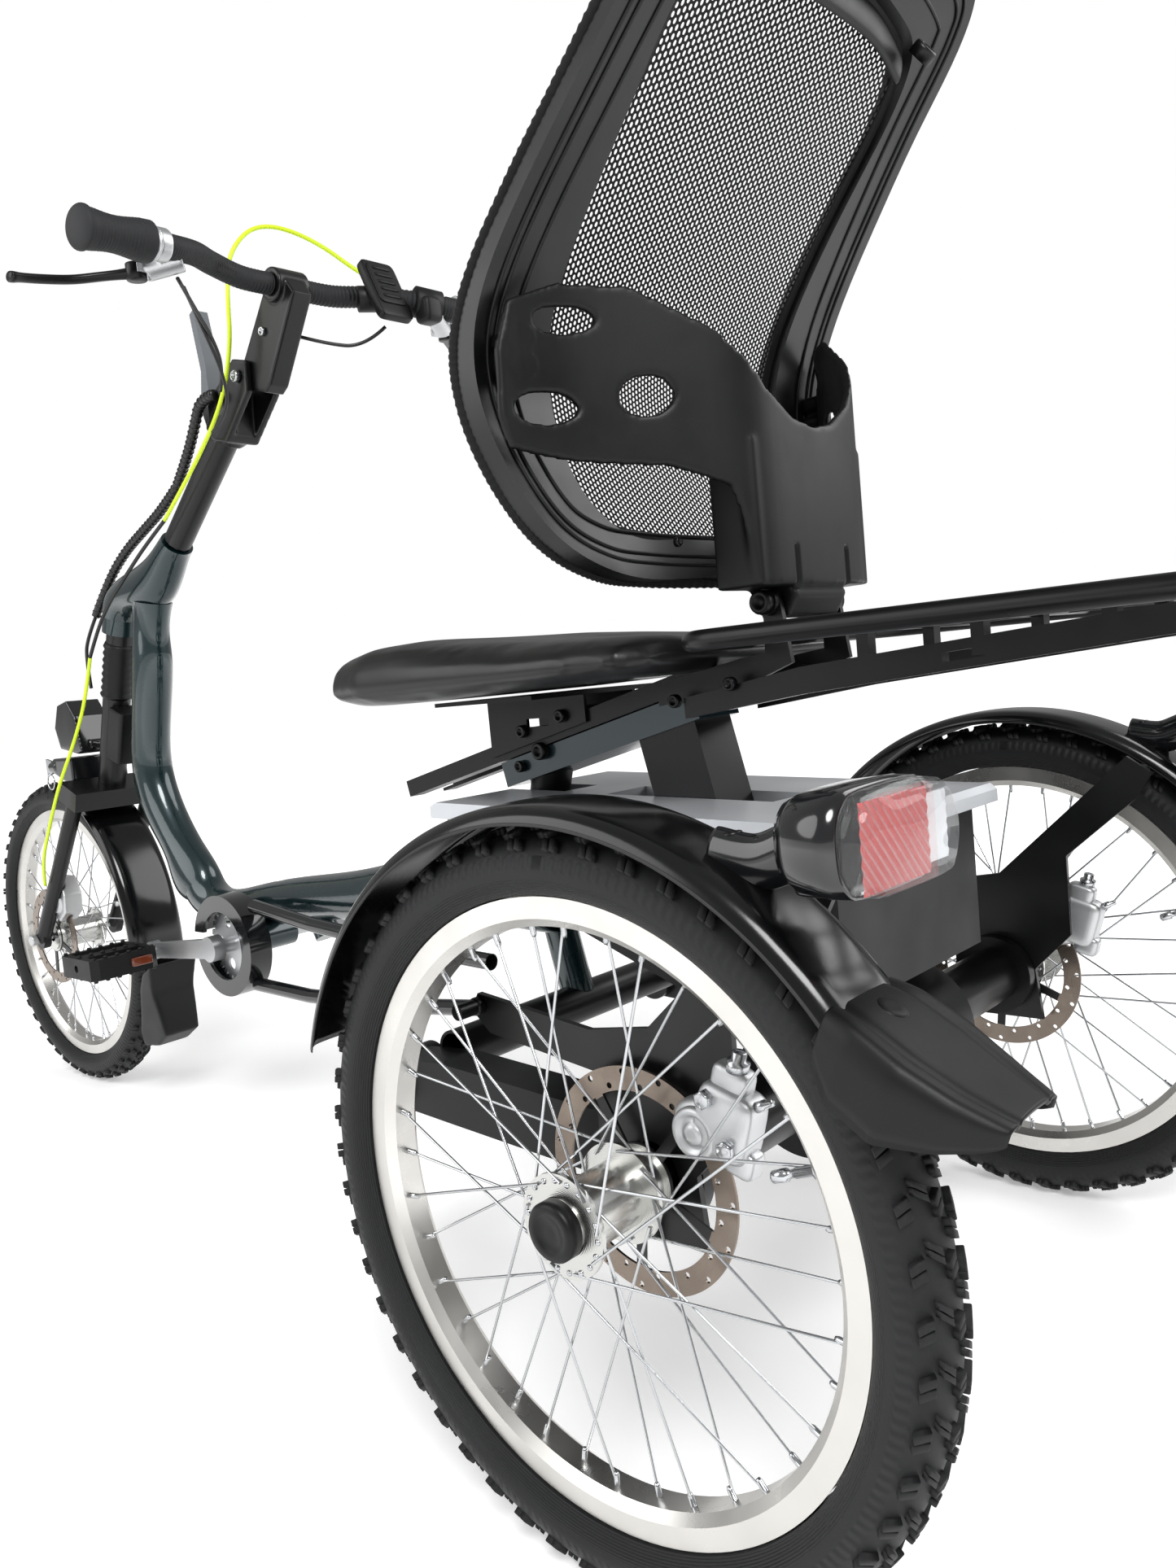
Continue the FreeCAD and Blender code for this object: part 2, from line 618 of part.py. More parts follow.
def fender_body(label, span, wall, start, base, radius, half):
    """A crowned sheet bent round a wheel."""
    body = new_body(label)
    sketch = sketch_on(body, "XY_Plane", label + "_section")
    inner = [(radius, "0"), (radius + " - 1.5", "0.5 * " + half), (radius + " - 4", "0.86 * " + half),
             (radius + " - 9", half)]
    outer = [(px + " + " + wall, py) for px, py in inner]
    outer[-1] = (inner[-1][0] + " + 1", half + " + 1")
    inside = [(px, "-(" + py + ")") for px, py in inner[:0:-1]]
    outside = [(px, "-(" + py + ")") for px, py in outer[1:]]
    ring = inside + [(inner[0][0], 0)] + inner[1:] + outer[:0:-1] + [(outer[0][0], 0)] + outside
    draw_outline(sketch, ring)
    revolve(body, sketch, label + "_bend", span)
    keep(body, label, base, turn_y(start))


def fenders():
    for side, y_text in (("left", "dim.half_track"), ("right", "-dim.half_track")):
        fender_body("rear_fender_" + side, 129.0, "dim.fender_wall", -147.0,
                    ("dim.rear_axle_x", y_text, "dim.wheel_radius"), "dim.fender_radius",
                    "dim.fender_half_width")


def fender_stays():
    """Flat V-shaped plates inboard of the rear wheels that carry the fenders and calipers."""
    plate = [(45, 322), (150, 336), (168, 352), (160, 366), (46, 352), (-8, 360), (-140, 478),
             (-162, 462), (-150, 440), (-78, 380), (-78, 300), (-40, 262), (-45, 210),
             (45, 210)]
    stay = slab_xz(plate, 286.0, 291.0)
    height = size("wheel_radius")
    stay = stay.cut(rod((0, 280, height), (0, 300, height), 24.5))
    boss_rear = rod((-146, 291, 462), (-146, 315, 462), 6)
    boss_front = rod((158, 291, 357), (158, 315, 357), 6)
    stay = stay.fuse([boss_rear, boss_front])
    keep_shape("fender_stays", both_sides(stay))
    return stay


def tail_lamps():
    """Housing, lens and arm of each rear lamp, and the flared flap at the fender's tip."""
    housing = Part.makeBox(42, 108, 56, Vector(-232, 297, 478))
    housing = housing.makeFillet(9, [e for e in housing.Edges if e.Length > 41 and e.Length < 43])
    lens = Part.makeBox(14, 106, 54, Vector(-246, 298, 479))
    lens = lens.makeFillet(9, [e for e in lens.Edges if e.Length < 15])
    arm = slab_xz([(-190, 486), (-190, 512), (-120, 520), (-120, 514)], 332, 366)
    arm = arm.cut(rod((0, 250, size("wheel_radius")), (0, 420, size("wheel_radius")),
                      size("fender_radius") + size("fender_wall") + 0.2))
    pieces = [housing, lens, max(arm.Solids, key=lambda solid: solid.Volume)]
    mirrored = [mirror_y(piece) for piece in pieces]
    keep_shape("tail_lamps", Part.makeCompound(pieces + mirrored))


def fender_flaps():
    """The flared plastic tips behind the rear wheels."""
    flap = slab_xz([(-210, 425), (-234, 424), (-300, 374), (-288, 352), (-262, 348), (-232, 372),
                    (-212, 408)], 303, 399)
    inner = rod((0, 290, size("wheel_radius")), (0, 410, size("wheel_radius")), 262)
    fender = subparts["rear_fender_left"].Shape.copy()
    fender.translate(Vector(-size("rear_axle_x"), 0, 0))
    flap = flap.cut(inner).cut(fender)
    flap = max(flap.Solids, key=lambda solid: solid.Volume)
    keep_shape("fender_flaps", both_sides(flap))


def caliper_shape(offset):
    """A cast caliper round a rotor in the plane at an offset, drawn about the axle."""
    block = slab_xz([(-34, 38), (-62, 22), (-88, 34), (-96, 62), (-84, 92), (-58, 96), (-36, 74)],
                    offset - 16, offset + 14)
    piston = rod((-62, offset - 19, 56), (-62, offset + 17, 56), 19)
    banjo = rod((-56, offset - 4, 90), (-56, offset - 4, 106), 7)
    shape = block.fuse([piston, banjo])
    slot = rod((0, offset - 3, 0), (0, offset + 3, 0), size("rotor_radius") + 2)
    return shape.cut(slot).removeSplitter()


def rear_calipers(stay):
    shape = caliper_shape(size("half_track") - size("rotor_offset"))
    shape.translate(Vector(0, 0, size("wheel_radius")))
    shape = shape.cut(stay)
    shape = max(shape.Solids, key=lambda solid: solid.Volume)
    keep_shape("rear_calipers", both_sides(shape))


def drive_covers():
    """The open-fronted ring round the chainring and the two tubes that the chain runs in."""
    spot = (size("crank_x"), size("crank_height"))
    ring = rod((spot[0], 42, spot[1]), (spot[0], 74, spot[1]), 68)
    ring = ring.cut(rod((spot[0], 40, spot[1]), (spot[0], 69, spot[1]), 62))
    ring = ring.cut(rod((spot[0], 60, spot[1]), (spot[0], 80, spot[1]), 46))
    mouth = Part.makeBox(80, 60, 30, Vector(spot[0] + 10, 30, spot[1] - 15))
    ring = ring.cut(mouth)
    upper = tube([(846, 56, 346), (720, 56, 330), (560, 56, 318), (400, 56, 312)], 9, 120, 1.5)
    lower = tube([(857, 56, 241), (740, 56, 238), (560, 56, 246), (400, 56, 262)], 9, 120, 1.5)
    keep_shape("chain_guard", Part.makeCompound([ring, upper.cut(ring), lower.cut(ring)]))


# ---- steering ---------------------------------------------------------------------------------

STEM_PIVOT = Vector(790.0, 0, 1012.0)
LEVER_PIN = Vector(891.0, 0, 1004.0)


def steering_column():
    """A round tube that turns in the head, with the clamp and fork that hold the stem."""
    along = (COLUMN_TOP - COLUMN_FOOT).normalize()
    outer = rod(COLUMN_FOOT, COLUMN_TOP, size("column_radius"))
    inner = rod(COLUMN_FOOT, COLUMN_TOP - along * 10, size("column_radius") - size("column_wall"))
    clamp = rod(COLUMN_TOP - along * 34, COLUMN_TOP + along * 6, 27)
    ears = slab_xz([(868, 950), (835, 940), (775, 990), (772, 1028), (800, 1036), (868, 995)],
                   -24, 24)
    slot = slab_xz([(828, 930), (700, 930), (700, 1060), (862, 1060), (820, 1004)], -15, 15)
    pin_hole = rod(STEM_PIVOT - Vector(0, 40, 0), STEM_PIVOT + Vector(0, 40, 0), 6)
    lugs = slab_xz([(858, 975), (884, 958), (899, 1000), (893, 1011), (885, 1008)], -16, 16)
    gap = slab_xz([(850, 984.5), (900, 975), (930, 1000), (900, 1060), (850, 1060)], -11.3, 11.3)
    lever_hole = rod(LEVER_PIN - Vector(0, 40, 0), LEVER_PIN + Vector(0, 40, 0), 4)
    stub = rod(COLUMN_FOOT - along * 28, COLUMN_FOOT + along * 8, 12)
    plug = rod(COLUMN_FOOT, COLUMN_FOOT + along * 8, size("column_radius") - 1)
    shape = outer.cut(inner).fuse([clamp, ears, lugs, stub, plug]).cut([slot, gap, pin_hole, lever_hole])
    shape = max(shape.Solids, key=lambda solid: solid.Volume)
    keep_shape("steering_column", shape)


def stem():
    """The adjustable stem on its pivot, with the clamp that holds the bar."""
    bar = Vector(705, 0, size("bar_height"))
    arm = slab_xz([(806, 1016), (800, 998), (780, 994), (752, 985), (740, 992), (672, 1084),
                   (690, 1110), (722, 1112), (792, 1030)], -14, 14)
    pin = rod(STEM_PIVOT - Vector(0, 24, 0), STEM_PIVOT + Vector(0, 24, 0), 5.95)
    clamp = rod(bar - Vector(0, 22, 0), bar + Vector(0, 22, 0), 20)
    bore = rod(bar - Vector(0, 30, 0), bar + Vector(0, 30, 0), size("bar_radius"))
    keep_shape("stem", arm.fuse([pin, clamp]).cut(bore))


def handlebar_points():
    half = size("bar_half")
    top = size("bar_height")
    left = [(705, 24, top), (700, 66, top - 1), (684, 112, top + 1), (652, 152, top - 6),
            (630, 192, top - 14), (620, half, top - 18)]
    right = [(px, -py, pz) for px, py, pz in left]
    return right[::-1] + left


def handlebar():
    keep_shape("handlebar", tube(handlebar_points(), size("bar_radius"), 90, 2.0))


def bar_end(inner_y, outer_y, radius, side=1):
    """A sleeve on the straight end of the bar."""
    points = handlebar_points()
    tip = Vector(*points[-1])
    before = Vector(*points[-2])
    along = (tip - before).normalize()
    start = before + along * ((inner_y - before.y) / along.y)
    end = before + along * ((outer_y - before.y) / along.y)
    sleeve = rod(start, end, radius).cut(rod(before, tip + along, size("bar_radius")))
    return sleeve if side > 0 else mirror_y(sleeve)


def controls():
    """Grips, brake levers and their clamps, and the display."""
    keep_shape("grip_left", bar_end(222, 300, 16.5))
    points = handlebar_points()
    tip = Vector(*points[-1])
    before = Vector(*points[-2])
    along = (tip - before).normalize()
    start = before + along * ((224 - before.y) / along.y)
    grip = rod(start, tip, 16.5).cut(rod(before, tip + along, size("bar_radius") + 0.05))
    keep_shape("twist_grip", mirror_y(grip))
    ring = bar_end(200, 214, 17)
    body = rod((640, 176, 1080), (662, 212, 1068), 13)
    tongue = Part.makeBox(22, 26, 10, Vector(650, 196, 1062))
    mount = ring.fuse([body, tongue]).cut(tube(points, size("bar_radius"), 90))
    pivot = Vector(664, 216, 1066)
    mount = mount.cut(rod(pivot - Vector(0, 0, 14), pivot + Vector(0, 0, 14), 14))
    mount = max(mount.Solids, key=lambda solid: solid.Volume)
    keep_shape("brake_mounts", both_sides(mount))
    lever = tube([(664, 216, 1066), (690, 240, 1066), (700, 270, 1068), (694, 322, 1072)], 6.5, 60)
    lever = lever.fuse(rod(pivot - Vector(0, 0, 9), pivot + Vector(0, 0, 9), 11))
    lever = lever.cut(rod(pivot - Vector(0, 0, 14), pivot + Vector(0, 0, 14), 3))
    keep_shape("brake_lever_left", lever)
    keep_shape("brake_lever_right", mirror_y(lever))
    screen = Part.makeBox(12, 52, 84, Vector(-6, -26, -42))
    screen.rotate(Vector(0, 0, 0), Vector(0, 1, 0), 24)
    screen.translate(Vector(662, -118, 1103))
    strap = rod((678, -124, 1101), (692, -92, 1100), 15)
    shape = screen.fuse(strap).cut(tube(points, size("bar_radius"), 90))
    shape = max(shape.Solids, key=lambda solid: solid.Volume)
    keep_shape("display", shape)


def stem_lever():
    """The long release lever of the column clamp, on its own cross pin."""
    blade = slab_xz([(880, 996), (896, 994), (902, 1006), (894, 1044), (906, 1120), (896, 1124),
                     (882, 1052)], -11, 11)
    pin = rod(LEVER_PIN - Vector(0, 17, 0), LEVER_PIN + Vector(0, 17, 0), 3.95)
    keep_shape("stem_lever", blade.fuse(pin))


def fork():
    """Crown, two straight legs, and the steerer in its boot."""
    axle = Vector(size("wheelbase"), 0, size("wheel_radius"))
    top = steer_point(734)
    crown = steer_point(505)
    steerer = rod(top, crown, 20.5).cut(rod(steer_point(722), steer_point(520), 17))
    journal = rod(steer_point(760), steer_point(722), 14)
    plate = Part.makeBox(56, 150, 30, Vector(-28, -75, -15))
    plate.rotate(Vector(0, 0, 0), Vector(0, 1, 0), -size("steer_lean"))
    plate.translate(crown + Vector(-2, 0, -12))
    pieces = [plate]
    for side in (62, -62):
        start = Vector(1300, side, 492)
        pieces.append(rod(start, axle + Vector(0, side, 0), 12))
        pieces.append(rod(axle + Vector(0, side - 6, 0), axle + Vector(0, side + 6, 0), 17))
    shape = steerer.fuse(pieces + [journal])
    for side in (62, -62):
        start = Vector(1300, side, 492)
        end = axle + Vector(0, side, 0)
        shape = shape.cut(rod(start + (end - start) * 0.12, start + (end - start) * 0.88, 9.5))
    shape = shape.cut(rod(axle - Vector(0, 90, 0), axle + Vector(0, 90, 0), 5))
    keep_shape("fork", shape)
    return shape


def front_details(fork_shape):
    axle_x = size("wheelbase")
    height = size("wheel_radius")
    axle = rod((axle_x, -84, height), (axle_x, 84, height), 4.9)
    nut = rod((axle_x, 68.2, height), (axle_x, 84, height), 9)
    lever = tube([(axle_x, -72, height), (axle_x - 20, -82, height + 6),
                  (axle_x - 56, -80, height + 14)], 4, 20)
    skewer = axle.fuse([nut, lever, mirror_y(nut)])
    caliper = caliper_shape(size("front_rotor_offset"))
    caliper.rotate(Vector(0, 0, 0), Vector(0, 1, 0), 8)
    caliper.translate(Vector(axle_x, 0, height))
    leg = rod((1300, 62, 492), (axle_x, 62, height), 12.0)
    caliper = caliper.cut(leg)
    caliper = max(caliper.Solids, key=lambda solid: solid.Volume)
    keep_shape("front_caliper", Part.makeCompound([caliper, skewer.cut(fork_shape)]))
    box = Part.makeBox(40, 46, 82, Vector(-20, -23, -41))
    box = box.makeFillet(5, [e for e in box.Edges if e.Length > 81])
    box.rotate(Vector(0, 0, 0), Vector(0, 1, 0), -size("steer_lean"))
    box.translate(steer_point(586) + Vector(-38, 0, -6))
    keep_shape("connector_box", box.cut(fork_shape))
    lamp = slab_xz([(1338, 560), (1352, 556), (1412, 566), (1424, 600), (1406, 636), (1372, 642),
                    (1350, 616)], -27, 27)
    bracket = slab_xz([(1300, 560), (1345, 566), (1345, 576), (1300, 572)], -9, 9)
    lamp = lamp.fuse(bracket).cut(fork_shape)
    keep_shape("head_lamp", max(lamp.Solids, key=lambda solid: solid.Volume))


def front_fender():
    """A wide crowned sheet behind the front wheel, and the flared flap under it."""
    fender_body("front_fender", 71.0, "dim.fender_wall", -188.0,
                ("dim.front_axle_x", None, "dim.wheel_radius"), "dim.fender_radius + 2",
                "dim.fender_half_width + 8")


def front_flap():
    flap = slab_xz([(1212, 216), (1180, 232), (1186, 186), (1161, 119), (1200, 98), (1258, 92),
                    (1262, 120), (1236, 180)], -44, 44)
    centre = (size("wheelbase"), size("wheel_radius"))
    return flap.cut(rod((centre[0], -60, centre[1]), (centre[0], 60, centre[1]), 266))


def ring_lock():
    """The wheel lock in front of the crown, and the key with its two rings."""
    housing = slab_xz([(1340, 500), (1340, 552), (1402, 552), (1412, 545), (1412, 530),
                       (1362, 512)], -46, 46)
    barrel = rod((1396, 40, 538), (1418, 40, 538), 9)
    housing = housing.fuse(barrel)
    return housing


def lock_key():
    bow = slab_xz([(1419, 528), (1419, 548), (1438, 552), (1438, 524)], 38, 42)
    ring = Part.makeTorus(12, 1.2, Vector(1432, 40, 514), Vector(0, 1, 0))
    bow = bow.cut(rod((1432, 30, 526.5), (1432, 50, 526.5), 2.4))
    keep_shape("lock_key", Part.makeCompound([bow, ring.cut(bow)]))


# ---- cranks and pedals ------------------------------------------------------------------------

def crank_end(side, y):
    """Where a pedal's axle meets its arm: the left arm points forward, the right one back."""
    droop = math.radians(size("crank_droop"))
    reach = side * size("crank_length")
    return Vector(size("crank_x") + reach * math.cos(droop), y,
                  size("crank_height") - reach * math.sin(droop))


def crank_set():
    """Spindle, chainring and both arms, which turn as one piece, and the pedal axles."""
    centre = Vector(size("crank_x"), 0, size("crank_height"))
    spindle = rod(centre - Vector(0, 90, 0), centre + Vector(0, 90, 0), 10)
    journal = rod(centre - Vector(0, 31, 0), centre + Vector(0, 31, 0), 16.45)
    teeth = []
    for k in range(26):
        tooth = Part.makeBox(9, 3, 7, Vector(43, 54, -3.5))
        tooth.rotate(Vector(0, 0, 0), Vector(0, 1, 0), 360.0 * k / 26)
        teeth.append(tooth)
    ring = rod((0, 54, 0), (0, 57, 0), 46).fuse(teeth)
    for k in range(5):
        window = rod((30, 50, 0), (30, 60, 0), 8)
        window.rotate(Vector(0, 0, 0), Vector(0, 1, 0), 72 * k)
        ring = ring.cut(window)
    ring.translate(centre)
    pieces = [journal, ring]
    for side in (1, -1):
        inner = Vector(centre.x, 80 * side, centre.z)
        end = crank_end(side, 80 * side)
        along = (end - inner).normalize()
        square = Vector(-along.z, 0, along.x)
        corners = [inner + square * 13, end + square * 10, end - square * 10, inner - square * 13]
        wire = Part.makePolygon(corners + corners[:1])
        pieces.append(Part.Face(wire).extrude(Vector(0, 13 * side, 0)))
        pieces.append(rod(inner - Vector(0, 2 * side, 0), inner + Vector(0, 15 * side, 0), 17))
        pieces.append(rod(end, end + Vector(0, 13 * side, 0), 13))
        pieces.append(rod(end + Vector(0, 13 * side, 0), end + Vector(0, 116 * side, 0), 5))
    keep_shape("crank_set", spindle.fuse(pieces))


def pedals():
    for side, name in ((1, "pedal_left"), (-1, "pedal_right")):
        body = new_body(name)
        outline = sketch_on(body, "XY_Plane", name + "_outline")
        near, far = (12 * side, 106 * side)
        corners = [(-40, near), (40, near), (47, near + 10 * side), (47, far - 10 * side),
                   (40, far), (-40, far), (-47, far - 10 * side), (-47, near + 10 * side)]
        draw_outline(outline, corners)
        pad(body, outline, name + "_frame", "28")
        windows = sketch_on(body, "XY_Plane", name + "_windows")
        for low, high in ((-37, -12), (12, 37)):
            draw_outline(windows, [(low, near + 10 * side), (high, near + 10 * side),
                                   (high, far - 10 * side), (low, far - 10 * side)])
        pocket(body, windows, name + "_open", "40")
        bore = sketch_on(body, "XZ_Plane", name + "_bore")
        draw_circle(bore, 0, 0, "5.05")
        pocket(body, bore, name + "_hole", "240")
        end = crank_end(side, 94 * side)
        reach = "%d * dim.crank_length" % side
        keep(body, name, ("dim.rear_axle_x + dim.crank_x + %s * cos(dim.crank_droop)" % reach,
                          "%d" % (94 * side),
                          "dim.crank_height - %s * sin(dim.crank_droop)" % reach))
        doc.recompute()
        if abs(body.Placement.Base.z - end.z) > 0.5:
            raise RuntimeError("the pedal is off its axle")


# ---- seat, carrier and backrest ---------------------------------------------------------------

def seat_rail():
    """A channel with a slot along its underside, open at both ends."""
    body = new_body("seat_rail")
    sketch = sketch_on(body, "YZ_Plane", "rail_section")
    half = "dim.rail_width / 2"
    lip = "dim.rail_slot / 2"
    wall = "dim.rail_width / 2 - dim.rail_wall"
    ceiling = "dim.rail_height - dim.rail_wall"
    right = [(lip, 0), (half, 0), (half, "dim.rail_height")]
    left = [("-" + half, "dim.rail_height"), ("-" + half, 0), ("-" + lip, 0),
            ("-" + lip, "dim.rail_wall"), ("-(" + wall + ")", "dim.rail_wall"),
            ("-(" + wall + ")", ceiling)]
    inner = [(wall, ceiling), (wall, "dim.rail_wall"), (lip, "dim.rail_wall")]
    draw_outline(sketch, right + left + inner)
    pad(body, sketch, "rail_pad", "dim.rail_length", False, True)
    place_on_slope(body, "seat_rail", slope_point(-153, 1.0))


def rail_top(x):
    """Height of the rail's top face above the floor at a distance from the rear axle."""
    slope = math.radians(size("rail_slope"))
    rise = (1.0 + size("rail_height")) / math.cos(slope)
    return RECEIVER_FRONT.z + (RECEIVER_FRONT.x - x) * math.tan(slope) + rise


def seat_bracket():
    """Folded plates that hold the seat above the rail."""
    front, back, top = 385, 250, 584
    side = slab_xz([(front, rail_top(front) - 12), (back, rail_top(back) - 12), (back, top),
                    (front, top)], 35.0, 39.0)
    foot = slab_xz([(front, rail_top(front)), (back, rail_top(back)), (back, rail_top(back) + 4),
                    (front, rail_top(front) + 4)], -35, 35)
    deck = Part.makeBox(front - back, 220, 4, Vector(back, -110, top))
    shape = side.fuse([mirror_y(side), foot, deck])
    slot = slab_xz([(300, 556), (330, 556), (330, 564), (300, 564)], -50, 50)
    return shape.cut(slot).removeSplitter()


def seat_cushion():
    """A contoured pad with a recess for the rail along the rear of its underside."""
    side = [(512, 606), (507, 622), (482, 637), (432, 648), (370, 651), (300, 646), (220, 638),
            (122, 632), (74, 628), (70, 600), (78, 590), (224, 588), (355, 588), (480, 591),
            (506, 596)]
    block = slab_xz(side, -190, 190)
    half = size("seat_half_width")
    plan = [Vector(70, -half + 40, 500), Vector(90, -half + 6, 500), Vector(200, -half, 500),
            Vector(420, -half, 500), Vector(480, -half + 14, 500), Vector(506, -half + 55, 500),
            Vector(512, -half + 100, 500)]
    plan = plan + [Vector(p.x, -p.y, p.z) for p in plan[::-1]]
    prism = Part.Face(Part.makePolygon(plan + plan[:1])).extrude(Vector(0, 0, 200))
    recess = slab_xz([(60, 560), (60, rail_top(60) + 1), (250, rail_top(250) + 1), (250, 560)],
                     -56, 56)
    keep_shape("seat_cushion", block.common(prism).cut(recess).removeSplitter())


def rear_rack():
    """A tube loop with cross bars, carried by two flat bars from the seat rail."""
    half = size("rack_half_width")
    top = size("rack_height")
    radius = size("rack_tube")
    front, rear = 42, -376
    loop_points = [(-150, half, top), (front, half, top), (front, -half, top), (rear, -half, top),
                   (rear, half, top), (-150, half, top)]
    loop = tube(loop_points, radius, 42)
    pieces = []
    for x in (-64, -156, -248, -330):
        pieces.append(rod((x, -half, top), (x, half, top), 5))
    for y in (-110, 110):
        pieces.append(rod((-64, y, top), (rear, y, top), 4))
    bar = slab_xz([(112, 556), (112, 574), (-7, 592), (-340, 616), (-340, 596), (-7, 570)], 50, 62)
    slot = slab_xz([(-160, 588), (-128, 586), (-128, 593), (-160, 595)], 40, 70)
    bar = bar.cut(slot)
    for side_bar in (bar, mirror_y(bar)):
        pieces.append(side_bar)
    for x in (-64, -156, -248, -330):
        for y in (50, -62):
            tab = Part.makeBox(10, 12, 30, Vector(x - 5, y, top - 30))
            pieces.append(tab)
    plate = Part.makeBox(3, 100, 30, Vector(rear - 1.5, -50, top - 34))
    for y in (-40, 40):
        plate = plate.cut(rod((rear - 5, y, top - 20), (rear + 5, y, top - 20), 2.75))
    keep_shape("rear_rack", loop.fuse(pieces + [plate]))


HINGE = (26.0, 647.0)


def back_post(bracket):
    """Ears from the rail to the backrest's hinge, and the hinge pin."""
    ear = slab_xz([(150, 568), (150, 588), (60, 603), (33, 606), (32, 634), (37, 647), (34, 654.5),
                   (26, 658), (18, 654.5), (15, 647), (8, 596), (60, 578)], 44.5, 49.5)
    spacer = slab_xz([(150, 572), (150, 586), (104, 595), (104, 580)], 35, 44.5)
    pin = rod((HINGE[0], -49.5, HINGE[1]), (HINGE[0], 49.5, HINGE[1]), 6)
    head = rod((HINGE[0], 49.5, HINGE[1]), (HINGE[0], 55, HINGE[1]), 11)
    post = pin.fuse([ear, mirror_y(ear), spacer, mirror_y(spacer), head, mirror_y(head)])
    keep_shape("seat_brackets", Part.makeCompound([bracket, post]))


BACK_CURVE = [(92, 664), (112, 700), (138, 760), (153, 815), (152, 865), (131, 915), (96, 965),
              (52, 1018), (12, 1064), (-26, 1106), (-62, 1148), (-92, 1192)]
BACK_OUTER = [(0, 672), (110, 673), (168, 680), (212, 706), (236, 758), (246, 830), (243, 890),
              (230, 960), (218, 1020), (207, 1080), (199, 1130), (184, 1158), (150, 1172),
              (80, 1180)]
BACK_INNER = [(0, 706), (90, 708), (134, 716), (158, 742), (166, 800), (164, 880), (160, 960),
              (158, 1030), (154, 1082), (140, 1108), (100, 1122), (50, 1128)]


def back_strip(front, rear):
    """The backrest's side curve, thickened forward and rearward and drawn across the width."""
    ahead = [Vector(x + front, -260, z) for x, z in BACK_CURVE]
    behind = [Vector(x - rear, -260, z) for x, z in BACK_CURVE][::-1]
    edges = []
    for row in (ahead, behind):
        curve = Part.BSplineCurve()
        curve.interpolate(row)
        edges.append(curve.toShape())
    edges.insert(1, Part.LineSegment(ahead[-1], behind[0]).toShape())
    edges.append(Part.LineSegment(behind[-1], ahead[0]).toShape())
    return Part.Face(Part.Wire(edges)).extrude(Vector(0, 520, 0))


def back_outline(half):
    """A closed outline across the back, mirrored about the middle, as a prism along X."""
    left = [(y, z) for y, z in half]
    last = half[-1][1] + 1.5
    right = [(-y, z) for y, z in half[:0:-1]]
    points = left + [(0, last)] + right
    face = smooth_face(points, lambda y, z: Vector(-260, y, z))
    return face.extrude(Vector(560, 0, 0))


def backrest():
    """The curved frame, the mesh stretched in it, and the moulded bracket behind."""
    outer = back_outline(BACK_OUTER)
    inner = back_outline(BACK_INNER)
    frame = back_strip(12, 14).common(outer).cut(inner)
    keep_shape("back_frame", frame)
    mesh = back_strip(2, 2).common(inner)
    keep_shape("back_mesh", max(mesh.Solids, key=lambda solid: solid.Volume))
    plan = [(0, 0), (45, 1), (80, 7), (112, 32), (146, 66), (184, 96), (222, 114), (243, 120)]
    depth = 7
    rows = []
    for offset in (0, depth):
        side = [Vector(x + offset, y, 650) for y, x in plan]
        full = [Vector(p.x, -p.y, p.z) for p in side[:0:-1]] + side
        curve = Part.BSplineCurve()
        curve.interpolate(full)
        rows.append((curve.toShape(), full))
    ends = [Part.LineSegment(rows[0][1][-1], rows[1][1][-1]).toShape(),
            Part.LineSegment(rows[1][1][0], rows[0][1][0]).toShape()]
    sheet_face = Part.Face(Part.Wire([rows[0][0], ends[0], rows[1][0], ends[1]]))
    shell = sheet_face.extrude(Vector(0, 0, 270))
    wing = [(0, 659), (84, 659), (87, 700), (96, 738), (130, 757), (190, 766), (236, 776),
            (243, 800), (240, 850), (228, 886), (190, 900), (146, 896), (104, 862), (60, 812),
            (30, 794)]
    right = [(-y, z) for y, z in wing[:0:-1]]
    shell = shell.common(slab_yz(wing + [(0, 788)] + right, -60, 260))
    holes = []
    for y, z, wide, tall in ((188, 872, 22, 10), (206, 806, 24, 12), (140, 812, 15, 15)):
        hole = Part.makeCylinder(1, 400, Vector(-60, 0, 0), Vector(1, 0, 0))
        stretch = FreeCAD.Matrix(1, 0, 0, 0, 0, wide, 0, y, 0, 0, tall, z, 0, 0, 0, 1)
        hole = hole.transformGeometry(stretch)
        holes += [hole, mirror_y(hole)]
    shell = shell.cut(Part.makeCompound(holes))
    wall = Part.makeBox(46, 6, 116, Vector(6, 78, 659))
    floor = Part.makeBox(46, 168, 6, Vector(6, -84, 659))
    tang = slab_xz([(6, 665), (4, 650), (14, 634), (38, 634), (48, 650), (50, 665)], -40, 40)
    tang = tang.cut(rod((HINGE[0], -50, HINGE[1]), (HINGE[0], 50, HINGE[1]), 6.05))
    pegs = []
    for z in (838, 858):
        pegs.append(rod((104, 222, z), (160, 222, z), 8))
    pieces = [floor, wall, mirror_y(wall), tang] + pegs + [mirror_y(peg) for peg in pegs]
    bracket = shell.fuse(pieces)
    bracket = bracket.cut(back_strip(200, 14.0))
    keep_shape("back_bracket", max(bracket.Solids, key=lambda solid: solid.Volume))


# ---- cables -----------------------------------------------------------------------------------

